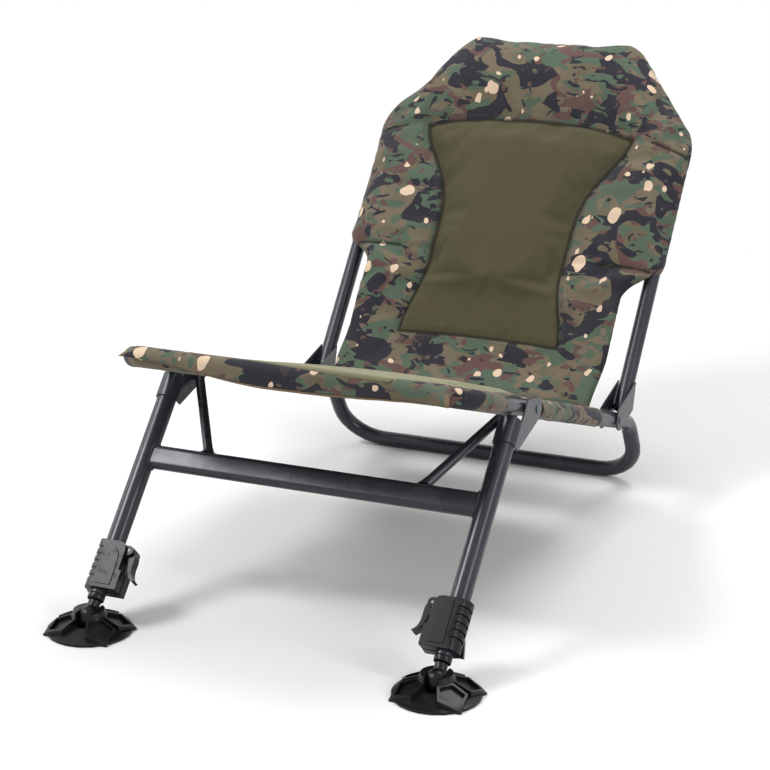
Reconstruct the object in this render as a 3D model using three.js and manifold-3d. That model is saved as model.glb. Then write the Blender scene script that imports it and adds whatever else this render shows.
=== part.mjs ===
// Folding low chair for the bank: a bent tube frame with a padded seat and back, and two
// telescopic front legs on ball jointed mud feet. Millimetres, +Z up, the sitter faces -Y.
import * as THREE from "three";
import { mergeVertices } from "three/addons/utils/BufferGeometryUtils.js";
import Module from "manifold-3d";

const wasm = await Module();
wasm.setup();

// Driving dimensions: the side view of the open chair, and its width
const TRACK = 460; // between the centre lines of the two side tubes
const PIVOT_HEIGHT = 259; // leg pivot bolt above the floor
const RAIL_SLOPE = 19.4; // degrees, the side rail falls to the rear
const RAIL_SPAN = 372; // leg pivot bolt to back hinge bolt, along the rail
const RAIL_FRONT = 209; // leg pivot bolt to the front cross tube, along the rail
const ARM_START = 86; // hinge bolt to the corner point where the rear arms turn down
const ARM_SLOPE = 59.5; // degrees, the rear arms fall steeper than the rail
const LEG_TILT = 44.3; // degrees from upright, the legs run forward
const LEG_SET = 39.4; // leg axis in front of its pivot bolt, so that it folds under the rail
const BACK_TILT = 40; // degrees from upright, the back leans to the rear
const BACK_SET = 33; // back tube axis behind its hinge bolt, so that it folds over the rail
const BACK_LENGTH = 594; // hinge bolt to the axis of the top cross tube, along the back

// Tubes, by outer diameter
const FRAME_TUBE = 22;
const BACK_TUBE = 21;
const LEG_TUBE = 25;
const INNER_TUBE = 21.6;
const STRUT_TUBE = 12.6;
const TUBE_WALL = 1.4;
const GAP = 0.3; // clearance between touching pieces
const OVERRUN = 2; // a cutting tool reaches this far past the face it cuts
const OPEN_END = 40; // how deep an open tube end is hollow
const TUBE_SIDES = 16;
const BORE_SIDES = 12;
const ROUND_SIDES = 20;
const SMALL_SIDES = 12;

// Bends of the tubes, at the tube axis
const FRONT_BEND = 55;
const ARM_BEND = 48;
const REAR_BEND = 60;
const SHOULDER_BEND = 52;
const BEND_STEPS = 7;
const SOFT_BEND_STEPS = 3;
const FRAME_JOIN = 215; // the front and rear frame tubes meet here, behind the leg pivot
const SPIGOT_LENGTH = 60;
const SHOULDER_HEIGHT = 456; // corner point where the back tube leaves the upright
const TOP_CORNER_IN = 107; // corner point of the top cross tube, inward from the side tube

// Leg frame, measured down the leg from its pivot bolt
const CROSSBAR_DROP = 153.3;
const CROSSBAR_DEEP = 32;
const CROSSBAR_THIN = 16;
const STRUT_FOOT_IN = 83; // strut foot inward from the side tube, on the crossbar
const STRUT_HEAD_IN = 21; // strut's round end inward from the side tube's centre line
const STRUT_HEAD_DROP = 22;
const STRUT_HEAD_SET = 16; // strut's round end in front of the pivot bolt
const STRUT_TAB = 3; // thickness of the strut's flattened end
const STRUT_TAB_WIDE = 17;
const STRUT_FLARE = 17; // weld flare at the strut's foot, diameter
const STRUT_FLARE_TALL = 8;
const LEG_BRACKET_DROP = 72;
const LEG_BRACKET_HEEL_SET = 28; // lower rear corner of the bracket, in front of the bolt
const LEG_BRACKET_BROW_DROP = 8; // upper front corner of the bracket
const LEG_EAR_RADIUS = 15;

// Back bracket, measured up the back from its hinge bolt
const BACK_EAR_RADIUS = 14;
const BACK_BRACKET_RISE = 72; // its point on the back tube
const BACK_BRACKET_HEEL = 36; // lower rear corner
const BACK_BRACKET_TOE = 18.7; // upper front corner, in front of the bolt
const BACK_BRACKET_TOE_RISE = 8;
const BACK_WEB_RISE = 47;

// Sheet, bolts and nuts
const PLATE = 2;
const BOLT = 6.4;
const BOLT_HEAD = 11;
const BOLT_HEAD_TALL = 2.8;
const NUT_ACROSS = 11.5; // over the corners
const NUT_TALL = 5;
const BOLT_TAIL = 1.5; // thread seen past the nut

// Clamp: a ribbed barrel round the tubes with a cam lever on its inner side
const CLAMP_TALL = 63.5;
const CLAMP_BARREL = 37;
const CLAMP_DEEP = 31; // flat front cheek to flat rear cheek
const CLAMP_REACH = 25; // leg axis to the clamp's inner side
const CLAMP_FOOT_REACH = 29; // the lower block reaches further in
const CLAMP_FOOT_TALL = 26;
const CLAMP_SHOULDER = 12; // rounding of the clamp's inner top corner
const CLAMP_SEAT = 31; // how far the outer tube goes down into the clamp
const CLAMP_SLIT = 2.4;
const FIN_REACH = 20.5; // the lower outer fin's reach from the leg axis
const FIN_TALL = 22;
const FIN_THICK = 5;
const CHEEK_PANEL = 1.2; // how far the panel on each cheek stands proud
const CHEEK_PANEL_EDGE = 5; // panel's margin to the cheek's edges
const RIB_COUNT = 5;
const RIB_PITCH = 9.6;
const RIB_GROOVE = 4.4;
const RIB_DEEP = 2.2;
const RIB_FIRST = 11; // first groove's middle below the clamp's top
const RIB_INSET = 4; // the grooves start this far out from the leg axis
const RIB_BEHIND = 3; // and end this far behind it
const LEVER_PIN_REACH = 27.5; // leg axis to the lever's pin
const LEVER_PIN_DROP = 9;
const LEVER_PIN = 4;
const LEVER_HEAD = 13; // diameter of the cam head
const LEVER_WIDE = 14;
const LEVER_THICK = 6;
const LEVER_BELLY = 37; // reach of the lever's bowed middle
const LEVER_BELLY_DROP = 26;
const LEVER_WAIST = 33; // reach where the tail starts to curl out
const LEVER_WAIST_DROP = 41;
const LEVER_TIP = 46; // reach of the curled tip
const LEVER_TIP_DROP = 45;
const LEVER_TIP_THICK = 3;
const LEVER_TIP_SLANT = 2;
const LEVER_BOW = 1; // how far the lever's back bows out above its belly
const LUG_WIDE = 4; // each lug beside the lever's head

// Inner leg, ball stud and mud foot
const INNER_LENGTH = 178;
const INNER_TAIL = 5; // inner tube seen below the retracted clamp
const PLUG_LIP = 8;
const PLUG_DEEP = 26;
const PLUG_CHAMFER = 1;
const NECK = 15.6;
const STUD = 9; // shank that turns in the plug
const NECK_REACH = 21.4; // plug's lip to the ball's middle
const BALL = 29;
const SOLE = 3; // foot thickness under the ball
const FOOT_RADIUS = 58; // to the point of a lobe
const SKIRT_RADIUS = 53; // round skirt between the lobes
const SKIRT_EDGE = 3;
const SKIRT_TALL = 12; // the skirt's cone where it meets the cup
const CUP_RADIUS = 19.5; // cup round the ball, at its top
const CUP_FOOT_RADIUS = 24;
const CUP_FOOT_TALL = 9;
const CUP_TALL = 28;
const LOBE_COUNT = 5;
const LOBE_PITCH = 65; // degrees; the side that faces forward stays plain
const LOBE_HALF_WIDE = 20;
const LOBE_ROOT = 18.6; // radius where a lobe leaves the cup
const LOBE_WAIST = 38; // radius where the lobe is widest
const LOBE_NOSE = 51; // radius where its top turns down
const LOBE_ROOT_TALL = 21.5;
const LOBE_WAIST_TALL = 12.6;
const LOBE_NOSE_TALL = 7;
const LOBE_TIP_TALL = 1.5;
const POCKET_DEEP = 4.5;
const POCKET_RIM = 3.4;
const POCKET_TIP_RIM = 7; // rim between the pocket's point and the lobe's point
const NOTCH_WIDE = 18; // lets the neck lie forward and back in the cup
const NOTCH_FLOOR = 8.5;
const BALL_RINGS = 10;

// Seat, measured along the rail from the leg pivot bolt and up from the rail's axis
const SLEEVE_WALL = 1.3;
const SLING_THICK = 2.4;
const SLEEVE_FRONT_END = -103; // the side sleeves leave the rail bare around the leg pivot
const SLEEVE_REAR_START = 31;
const SLEEVE_REAR_END = 292;
const SLING_NOTCH = 27; // the sling's edge keeps this far inside the side tube at the pivot
const SLING_TOP = 0.7; // the sling spans the frame at the height of the rail's axis
const SEAT_EDGE_IN = 26; // pad's side inward from the side tube
const SEAT_REAR = 346;
const SEAT_CROWN = 24;
const SEAT_SIDE_TALL = 9;
const SEAT_WRAP = 2; // padding over the front sleeve
const SEAT_NOSE = 226; // front of the pad's hem in the middle, ahead of the leg pivot
const SEAT_NOSE_TIP = 231; // and at its two pointed corners
const SEAT_HEM = 20; // the hem hangs this far below the rail's axis in the middle
const SEAT_HEM_TIP = 12; // and at its corners
const SEAT_COLUMNS = 14;
// Stations from the front tube to the seat's rear end, and the crown's height there
const seatRunShares = [0.1, 0.2, 0.32, 0.46, 0.62, 0.78, 0.9, 0.97, 1];
const seatRiseShares = [0.3, 0.45, 0.65, 0.82, 0.96, 1, 0.8, 0.45, 0.2];

// Back pad, measured up the back from the hinge bolt
const PAD_FOOT = 31;
const PAD_FOOT_IN = 41; // pad's edge inward from the side tube, at its foot
const PAD_EDGE_IN = 31; // and below its wings
const WING_FOOT = 206; // where the outline starts to run out to the wings
const WING_RISE = 258; // where it reaches them
const PAD_WRAP = 14; // pad's edge round the tube's axis
const PAD_EDGE = 9; // half thickness at the lower edges
const PAD_LOWER_SET = 23; // the lower pad hangs this far in front of the tubes
const PAD_FACE = 27; // padded face in front of the tubes
const PAD_BACK = 9; // pad's rear face behind its middle plane
const PANEL_FOOT = 101; // plain panel's lower seam
const PANEL_TOP = 447;
const PANEL_WAIST_IN = 126; // panel's side seam inward from the side tube, at its waist
const PANEL_FOOT_IN = 106; // at its lower corners
const PANEL_TOP_IN = 69; // and at its upper corners
const PANEL_FLARE = 1.7; // how late the seam runs out to the upper corners
const SEAM_WIDE = 6;
const SEAM_DEEP = 4;
const NOSE_STEPS = 3;

// Materials
const paint = new THREE.MeshStandardMaterial({ color: 0x34373f, roughness: 0.42, metalness: 0.6 });
const steel = new THREE.MeshStandardMaterial({ color: 0x1c1e22, roughness: 0.35, metalness: 0.8 });
const plastic = new THREE.MeshStandardMaterial({ color: 0x1b1d20, roughness: 0.55, metalness: 0 });
const rubber = new THREE.MeshStandardMaterial({ color: 0x17191b, roughness: 0.6, metalness: 0 });
const printed = new THREE.MeshStandardMaterial({ color: 0x6a6553, roughness: 0.85, metalness: 0 });
const olive = new THREE.MeshStandardMaterial({ color: 0x5f5a3e, roughness: 0.9, metalness: 0 });

const lerp = THREE.MathUtils.lerp;
const smooth = THREE.MathUtils.smoothstep;

// Solids: closed geometry to a solid and back

function solid(geometry) {
  const bare = geometry.clone();
  bare.deleteAttribute("normal");
  bare.deleteAttribute("uv");
  const merged = mergeVertices(bare, 1e-4);
  return new wasm.Manifold(
    new wasm.Mesh({
      numProp: 3,
      vertProperties: new Float32Array(merged.attributes.position.array),
      triVerts: new Uint32Array(merged.index.array),
    }),
  );
}

function geometryOf(body) {
  const mesh = body.getMesh();
  const geometry = new THREE.BufferGeometry();
  geometry.setAttribute("position", new THREE.BufferAttribute(mesh.vertProperties, 3));
  geometry.setIndex(new THREE.BufferAttribute(mesh.triVerts, 1));
  geometry.computeVertexNormals();
  return geometry;
}

function join(...bodies) {
  return bodies.reduce((whole, body) => whole.add(body));
}

function named(name, body, material) {
  const mesh = new THREE.Mesh(geometryOf(body), material);
  mesh.name = name;
  return mesh;
}

// Turns and moves a geometry, and gives its solid
function placed(geometry, { x = 0, y = 0, z = 0, turnX = 0, turnY = 0, turnZ = 0 } = {}) {
  geometry.rotateX(turnX);
  geometry.rotateY(turnY);
  geometry.rotateZ(turnZ);
  geometry.translate(x, y, z);
  return solid(geometry);
}

const radians = THREE.MathUtils.degToRad;
const HALF_TURN = Math.PI;
const QUARTER_TURN = Math.PI / 2;

// A round bar along X
function barX(diameter, from, to, y, z, sides = ROUND_SIDES) {
  const bar = new THREE.CylinderGeometry(diameter / 2, diameter / 2, Math.abs(to - from), sides);
  return placed(bar, { turnZ: QUARTER_TURN, x: (from + to) / 2, y, z });
}

// A round bar along Z
function barZ(diameter, from, to, x, y, sides = ROUND_SIDES) {
  const bar = new THREE.CylinderGeometry(diameter / 2, diameter / 2, Math.abs(to - from), sides);
  return placed(bar, { turnX: QUARTER_TURN, x, y, z: (from + to) / 2 });
}

// A round bar along Y
function barY(diameter, from, to, x, z, sides = ROUND_SIDES) {
  const bar = new THREE.CylinderGeometry(diameter / 2, diameter / 2, Math.abs(to - from), sides);
  return placed(bar, { x, y: (from + to) / 2, z });
}

// A solid turned about the Z axis from [radius, height] points, from the lowest up
function lathe(points, sides) {
  const profile = points.map(([r, z]) => new THREE.Vector2(r, z));
  return placed(new THREE.LatheGeometry(profile, sides), { turnX: QUARTER_TURN });
}

function block(wide, deep, tall, x, y, z) {
  return placed(new THREE.BoxGeometry(wide, deep, tall), { x, y, z });
}

// A tube's centre line: straight stretches with a round bend at each inner corner point.
// Its stations sit only where the tube bends, so a straight stretch costs one step.
class BentLine extends THREE.Curve {
  constructor(corners, radii, steps) {
    super();
    this.stations = [];
    const last = corners.length - 1;
    corners.forEach((corner, i) => {
      const before = corners[Math.max(i - 1, 0)];
      const after = corners[Math.min(i + 1, last)];
      if (i === 0 || i === last) {
        const along = after.clone().sub(before).normalize();
        this.stations.push({ point: corner.clone(), along });
        return;
      }
      const arrive = corner.clone().sub(before).normalize();
      const leave = after.clone().sub(corner).normalize();
      const angle = arrive.angleTo(leave);
      const radius = radii[i - 1];
      const start = corner.clone().addScaledVector(arrive, -radius * Math.tan(angle / 2));
      const inward = leave.clone().addScaledVector(arrive, -Math.cos(angle)).normalize();
      for (let k = 0; k <= steps[i - 1]; k++) {
        const turned = (angle * k) / steps[i - 1];
        const point = start.clone().addScaledVector(arrive, radius * Math.sin(turned));
        point.addScaledVector(inward, radius * (1 - Math.cos(turned)));
        const along = arrive.clone().multiplyScalar(Math.cos(turned));
        along.addScaledVector(inward, Math.sin(turned));
        this.stations.push({ point, along });
      }
    });
    this.steps = this.stations.length - 1;
  }

  getPoint(share, target = new THREE.Vector3()) {
    const place = share * this.steps;
    const i = Math.min(Math.floor(place), this.steps - 1);
    return target.lerpVectors(this.stations[i].point, this.stations[i + 1].point, place - i);
  }

  getPointAt(share, target) {
    return this.getPoint(share, target);
  }

  getTangentAt(share, target = new THREE.Vector3()) {
    return target.copy(this.stations[Math.round(share * this.steps)].along);
  }
}

function roundSection(diameter, bore) {
  const section = new THREE.Shape();
  section.absarc(0, 0, diameter / 2, 0, 2 * HALF_TURN);
  if (bore) {
    const hole = new THREE.Path();
    hole.absarc(0, 0, bore / 2, 0, 2 * HALF_TURN, true);
    section.holes.push(hole);
  }
  return section;
}

function sweep(section, line, sides = TUBE_SIDES) {
  return solid(
    new THREE.ExtrudeGeometry(section, {
      steps: line.steps,
      curveSegments: sides / 2,
      extrudePath: line,
    }),
  );
}

// A flat outline in the Y-Z plane, as [y, z] points, extruded from x = from to x = to
function plateX(points, from, to) {
  const outline = new THREE.Shape(points.map(([y, z]) => new THREE.Vector2(y, z)));
  const plate = new THREE.ExtrudeGeometry(outline, { depth: to - from, bevelEnabled: false });
  plate.rotateX(QUARTER_TURN);
  plate.rotateZ(QUARTER_TURN);
  plate.translate(from, 0, 0);
  return solid(plate);
}

// A flat outline in the X-Z plane, as a Shape, extruded over deep about y
function plateY(outline, deep, y, turnZ = 0) {
  const plate = new THREE.ExtrudeGeometry(outline, {
    depth: deep,
    bevelEnabled: false,
    curveSegments: SMALL_SIDES / 2,
  });
  plate.rotateX(QUARTER_TURN);
  plate.translate(0, y + deep / 2, 0);
  return placed(plate, { turnZ });
}

// The convex outline round a list of circles, as [y, z] points
function outlineRound(circles, sides = ROUND_SIDES) {
  const cloud = circles.flatMap(([y, z, radius]) =>
    Array.from({ length: radius ? sides : 1 }, (_, k) => {
      const turned = (2 * HALF_TURN * k) / sides;
      return [y + radius * Math.cos(turned), z + radius * Math.sin(turned)];
    }),
  );
  cloud.sort((a, b) => a[0] - b[0] || a[1] - b[1]);
  const cross = (o, a, b) => (a[0] - o[0]) * (b[1] - o[1]) - (a[1] - o[1]) * (b[0] - o[0]);
  const chain = (points) => {
    const kept = [];
    for (const point of points) {
      while (kept.length > 1 && cross(kept.at(-2), kept.at(-1), point) <= 0) kept.pop();
      kept.push(point);
    }
    return kept.slice(0, -1);
  };
  return [...chain(cloud), ...chain(cloud.slice().reverse())];
}

// A closed solid through rings with the same number of points. Each end is closed by a fan
// from its middle, or over the ring as flatten draws it in a plane, where it turns back
function loft(rings, flatten) {
  const count = rings[0].length;
  const points = rings.flat();
  const faces = [];
  for (let i = 0; i + 1 < rings.length; i++) {
    for (let k = 0; k < count; k++) {
      const here = i * count + k;
      const beside = i * count + ((k + 1) % count);
      faces.push(here, beside, here + count, beside, beside + count, here + count);
    }
  }
  const fan = (ring, start, last) => {
    const middle = ring.reduce((sum, point) => sum.add(point), at(0, 0, 0)).divideScalar(count);
    points.push(middle);
    for (let k = 0; k < count; k++) {
      const edge = [start + k, start + ((k + 1) % count)];
      if (!last) edge.reverse();
      faces.push(...edge, points.length - 1);
    }
  };
  const cover = (ring, start, last) => {
    const outline = ring.map(flatten);
    for (const triple of THREE.ShapeUtils.triangulateShape(outline, [])) {
      const corners = triple.map((i) => outline[i]);
      const alike = THREE.ShapeUtils.isClockWise(corners) === THREE.ShapeUtils.isClockWise(outline);
      if (alike !== last) triple.reverse();
      faces.push(...triple.map((i) => start + i));
    }
  };
  const close = flatten ? cover : fan;
  close(rings[0], 0, false);
  close(rings.at(-1), (rings.length - 1) * count, true);
  const positions = points.flatMap((point) => point.toArray());
  const geometry = new THREE.BufferGeometry();
  geometry.setAttribute("position", new THREE.Float32BufferAttribute(positions, 3));
  geometry.setIndex(faces);
  return solid(geometry);
}

function at(x, y, z) {
  return new THREE.Vector3(x, y, z);
}

// Derived places
const HALF_TRACK = TRACK / 2;
const railSlope = radians(RAIL_SLOPE);
const armTurn = radians(ARM_SLOPE - RAIL_SLOPE);
const legTilt = radians(LEG_TILT);
const backTilt = radians(BACK_TILT);
const HINGE_HEIGHT = PIVOT_HEIGHT - RAIL_SPAN * Math.sin(railSlope);
const ARM_HEIGHT = HINGE_HEIGHT - ARM_START * Math.sin(railSlope);
const ARM_SPAN = (ARM_HEIGHT - FRAME_TUBE / 2) / Math.sin(radians(ARM_SLOPE));
const BALL_HEIGHT = SOLE + BALL / 2;
const BALL_DROP = (PIVOT_HEIGHT + LEG_SET * Math.sin(legTilt) - BALL_HEIGHT) / Math.cos(legTilt);
const CLAMP_TO_BALL = CLAMP_TALL + INNER_TAIL + PLUG_LIP + 2 * GAP + NECK_REACH;
const CLAMP_DROP = BALL_DROP - CLAMP_TO_BALL; // clamp top, down the leg from the pivot bolt

// The frame's middle line in the rail's own axes: y along the rail to the rear, z square to it
const frontTip = -RAIL_FRONT;
const armDirection = new THREE.Vector3(0, Math.cos(armTurn), -Math.sin(armTurn));
const armStart = RAIL_SPAN + ARM_START;
const rearTip = at(0, armStart, 0).addScaledVector(armDirection, ARM_SPAN);

function frontFrameLine() {
  return new BentLine(
    [
      at(-HALF_TRACK, FRAME_JOIN, 0),
      at(-HALF_TRACK, frontTip, 0),
      at(HALF_TRACK, frontTip, 0),
      at(HALF_TRACK, FRAME_JOIN, 0),
    ],
    [FRONT_BEND, FRONT_BEND],
    [BEND_STEPS, BEND_STEPS],
  );
}

function rearFrameLine() {
  return new BentLine(
    [
      at(-HALF_TRACK, FRAME_JOIN + GAP, 0),
      at(-HALF_TRACK, armStart, 0),
      at(-HALF_TRACK, rearTip.y, rearTip.z),
      at(HALF_TRACK, rearTip.y, rearTip.z),
      at(HALF_TRACK, armStart, 0),
      at(HALF_TRACK, FRAME_JOIN + GAP, 0),
    ],
    [ARM_BEND, REAR_BEND, REAR_BEND, ARM_BEND],
    [SOFT_BEND_STEPS, BEND_STEPS, BEND_STEPS, SOFT_BEND_STEPS],
  );
}

// A hole across both side tubes
function acrossBoth(diameter, y, z) {
  return barX(diameter, -TRACK, TRACK, y, z, BORE_SIDES);
}

function frontFrameTube() {
  let tube = sweep(roundSection(FRAME_TUBE), frontFrameLine());
  const spigot = FRAME_TUBE - 2 * (TUBE_WALL + GAP);
  for (const x of [-HALF_TRACK, HALF_TRACK]) {
    tube = tube.add(barY(spigot, FRAME_JOIN - OVERRUN, FRAME_JOIN + SPIGOT_LENGTH, x, 0, BORE_SIDES));
  }
  return tube.subtract(acrossBoth(BOLT + 2 * GAP, 0, 0));
}

function rearFrameTube() {
  let tube = sweep(roundSection(FRAME_TUBE), rearFrameLine());
  const bore = FRAME_TUBE - 2 * TUBE_WALL;
  for (const x of [-HALF_TRACK, HALF_TRACK]) {
    const end = FRAME_JOIN + SPIGOT_LENGTH + OVERRUN;
    tube = tube.subtract(barY(bore, FRAME_JOIN - OVERRUN, end, x, 0, BORE_SIDES));
  }
  return tube.subtract(acrossBoth(BOLT + 2 * GAP, RAIL_SPAN, 0));
}

// Bolt along X from its outer head, with the nut's seat on the inner side
function bolt(outer, inner) {
  const head = new THREE.SphereGeometry(BOLT_HEAD / 2, SMALL_SIDES, SMALL_SIDES / 2);
  head.scale(2 * (BOLT_HEAD_TALL / BOLT_HEAD), 1, 1);
  const dome = placed(head, { x: outer + GAP });
  const end = inner - NUT_TALL - BOLT_TAIL;
  const shank = barX(BOLT, end, outer + GAP + BOLT_HEAD_TALL / 2, 0, 0, BORE_SIDES);
  const past = block(BOLT_HEAD, BOLT_HEAD, BOLT_HEAD, outer + GAP - BOLT_HEAD / 2, 0, 0);
  return dome.subtract(past).add(shank);
}

function nut(inner) {
  const hexagon = new THREE.CylinderGeometry(NUT_ACROSS / 2, NUT_ACROSS / 2, NUT_TALL, 6);
  const body = placed(hexagon, { turnZ: QUARTER_TURN, x: inner - GAP - NUT_TALL / 2 });
  const past = inner - NUT_TALL - OVERRUN;
  return body.subtract(barX(BOLT + 2 * GAP, past, inner + OVERRUN, 0, 0, BORE_SIDES));
}

// Leg frame, in the leg's own axes about the pivot bolt: z up the leg, y to its rear
const STRAP_IN = LEG_TUBE / 2 + GAP;
const STRAP_OUT = STRAP_IN + PLATE;
const LEG_TOP = -(LEG_SET + LEG_TUBE / 2) * Math.tan(legTilt - railSlope)
  - FRAME_TUBE / 2 / Math.cos(legTilt - railSlope) - GAP;

function legTube() {
  const foot = -(CLAMP_DROP + CLAMP_SEAT);
  const tube = barZ(LEG_TUBE, foot, LEG_TOP, 0, -LEG_SET, ROUND_SIDES);
  const bore = LEG_TUBE - 2 * TUBE_WALL;
  return tube.subtract(barZ(bore, foot - OVERRUN, LEG_TOP + OVERRUN, 0, -LEG_SET, ROUND_SIDES));
}

// U of sheet round the tube's front, with two plates that run up to the pivot bolt
function legBracket() {
  const side = outlineRound([
    [-LEG_SET - PLATE / 2, -LEG_BRACKET_DROP, 0],
    [-LEG_BRACKET_HEEL_SET, -LEG_BRACKET_DROP, 0],
    [-LEG_SET - PLATE / 2, -LEG_BRACKET_BROW_DROP, 0],
    [0, 0, LEG_EAR_RADIUS],
  ]);
  const plates = [plateX(side, STRAP_IN, STRAP_OUT), plateX(side, -STRAP_OUT, -STRAP_IN)];
  const top = LEG_TOP - PLATE;
  let strap = barZ(2 * STRAP_OUT, -LEG_BRACKET_DROP, top, 0, -LEG_SET, ROUND_SIDES);
  strap = strap.subtract(barZ(2 * STRAP_IN, -TRACK, TRACK, 0, -LEG_SET, ROUND_SIDES));
  strap = strap.subtract(block(TRACK, TRACK, TRACK, 0, TRACK / 2 - LEG_SET, 0));
  const hole = barX(BOLT + 2 * GAP, -TRACK, TRACK, 0, 0, BORE_SIDES);
  return join(strap, ...plates).subtract(hole);
}

function crossbar() {
  const flat = CROSSBAR_DEEP - CROSSBAR_THIN;
  const oval = outlineRound([
    [-LEG_SET, flat / 2 - CROSSBAR_DROP, CROSSBAR_THIN / 2],
    [-LEG_SET, -flat / 2 - CROSSBAR_DROP, CROSSBAR_THIN / 2],
  ]);
  let bar = plateX(oval, -HALF_TRACK, HALF_TRACK);
  for (const x of [-HALF_TRACK, HALF_TRACK]) {
    bar = bar.subtract(barZ(LEG_TUBE + 2 * GAP, -TRACK, 0, x, -LEG_SET, ROUND_SIDES));
  }
  return bar;
}

const TAB_OUT = STRAP_OUT + GAP; // outer face of the strut's tab, inward from the side tube
const TAB_IN = TAB_OUT + STRUT_TAB;

// Round strut from the crossbar to a flattened eye on the pivot bolt, x from the side tube
function legStrut() {
  const foot = at(-STRUT_FOOT_IN, -LEG_SET, CROSSBAR_DEEP / 2 - CROSSBAR_DROP);
  const head = at(-STRUT_HEAD_IN, -STRUT_HEAD_SET, -STRUT_HEAD_DROP);
  const along = head.clone().sub(foot).normalize();
  const start = foot.clone().addScaledVector(along, GAP);
  const turn = new THREE.Quaternion().setFromUnitVectors(at(0, 1, 0), along);
  const rod = (low, high, from, to) => {
    const length = to - from;
    const geometry = new THREE.CylinderGeometry(high / 2, low / 2, length, SMALL_SIDES);
    geometry.applyQuaternion(turn);
    geometry.translate(...start.clone().addScaledVector(along, (from + to) / 2).toArray());
    return solid(geometry);
  };
  const reach = start.distanceTo(head);
  const tube = rod(STRUT_TUBE, STRUT_TUBE, -STRUT_FLARE_TALL, reach);
  const flare = rod(STRUT_FLARE, STRUT_TUBE, -STRUT_FLARE_TALL, STRUT_FLARE_TALL);
  const eye = outlineRound([
    [0, 0, STRUT_TAB_WIDE / 2],
    [-STRUT_HEAD_SET, -STRUT_HEAD_DROP, STRUT_TUBE / 2],
  ]);
  const tab = plateX(eye, -TAB_IN, -TAB_OUT);
  const hole = barX(BOLT + 2 * GAP, -TRACK, TRACK, 0, 0, BORE_SIDES);
  const under = block(TRACK, TRACK, TRACK, 0, 0, foot.z + GAP - TRACK / 2);
  return join(tube, flare, tab).subtract(hole).subtract(under);
}

// Clamp, in axes on the leg's middle line at the clamp's top, x outward

function clampOutline() {
  const outline = new THREE.Shape();
  const outer = CLAMP_BARREL / 2;
  outline.moveTo(outer, 0);
  outline.lineTo(outer, -CLAMP_TALL);
  outline.lineTo(-CLAMP_FOOT_REACH, -CLAMP_TALL);
  outline.lineTo(-CLAMP_FOOT_REACH, CLAMP_FOOT_TALL - CLAMP_TALL);
  outline.lineTo(-CLAMP_REACH, CLAMP_FOOT_TALL - CLAMP_TALL);
  outline.lineTo(-CLAMP_REACH, -CLAMP_SHOULDER);
  outline.quadraticCurveTo(-CLAMP_REACH, 0, CLAMP_SHOULDER - CLAMP_REACH, 0);
  return outline;
}

// The D on each cheek: straight along the ribs, round at its upper inner corner
function cheekPanel() {
  const left = CHEEK_PANEL_EDGE - CLAMP_REACH;
  const low = CHEEK_PANEL_EDGE - CLAMP_TALL;
  const panel = new THREE.Shape();
  panel.moveTo(0, low);
  panel.lineTo(0, -CHEEK_PANEL_EDGE);
  panel.quadraticCurveTo(left, -CHEEK_PANEL_EDGE, left, -CLAMP_TALL / 2);
  panel.lineTo(left, low);
  return plateY(panel, CLAMP_DEEP + 2 * CHEEK_PANEL, 0);
}

// A V-shaped groove round the barrel's outer front
function ribGroove(drop) {
  const outer = CLAMP_BARREL / 2 + OVERRUN;
  const inner = CLAMP_BARREL / 2 - RIB_DEEP;
  const wide = (RIB_GROOVE + OVERRUN) / 2;
  const narrow = RIB_GROOVE / 4;
  const ring = lathe([
    [inner, -narrow - drop],
    [outer, -wide - drop],
    [outer, wide - drop],
    [inner, narrow - drop],
    [inner, -narrow - drop],
  ], ROUND_SIDES);
  const cheek = block(TRACK, TRACK, TRACK, RIB_INSET - TRACK / 2, 0, 0);
  const rear = block(TRACK, TRACK, TRACK, 0, RIB_BEHIND + TRACK / 2, 0);
  return ring.subtract(join(cheek, rear));
}

function clampBody() {
  const slab = plateY(clampOutline(), CLAMP_DEEP, 0);
  const room = block(TRACK, TRACK, TRACK, -TRACK / 2, 0, 0);
  const barrel = barZ(CLAMP_BARREL, -CLAMP_TALL, 0, 0, 0, ROUND_SIDES);
  let body = slab.intersect(join(barrel, room));
  body = body.add(cheekPanel());
  for (let i = 0; i < RIB_COUNT; i++) body = body.subtract(ribGroove(RIB_FIRST + i * RIB_PITCH));
  const fin = new THREE.Shape();
  fin.moveTo(0, -CLAMP_TALL);
  fin.lineTo(FIN_REACH, -CLAMP_TALL);
  fin.lineTo(CLAMP_BARREL / 2 - RIB_DEEP, FIN_TALL - CLAMP_TALL);
  fin.lineTo(0, FIN_TALL - CLAMP_TALL);
  body = body.add(plateY(fin, FIN_THICK, CLAMP_DEEP / 2 - FIN_THICK));
  const lugPlace = (LEVER_WIDE + LUG_WIDE) / 2 + GAP;
  for (const y of [lugPlace, -lugPlace]) body = body.add(plateY(lugOutline(), LUG_WIDE, y));
  return body.subtract(clampHollows());
}

function lugOutline() {
  const lug = new THREE.Shape();
  const radius = LEVER_HEAD / 2 - GAP;
  lug.moveTo(-CLAMP_REACH / 2, LEVER_HEAD / 2 - LEVER_PIN_DROP - GAP);
  lug.lineTo(-LEVER_PIN_REACH, radius - LEVER_PIN_DROP);
  lug.absarc(-LEVER_PIN_REACH, -LEVER_PIN_DROP, radius, QUARTER_TURN, HALF_TURN + QUARTER_TURN);
  lug.lineTo(-CLAMP_REACH / 2, -LEVER_PIN_DROP - LEVER_HEAD);
  return lug;
}

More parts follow.
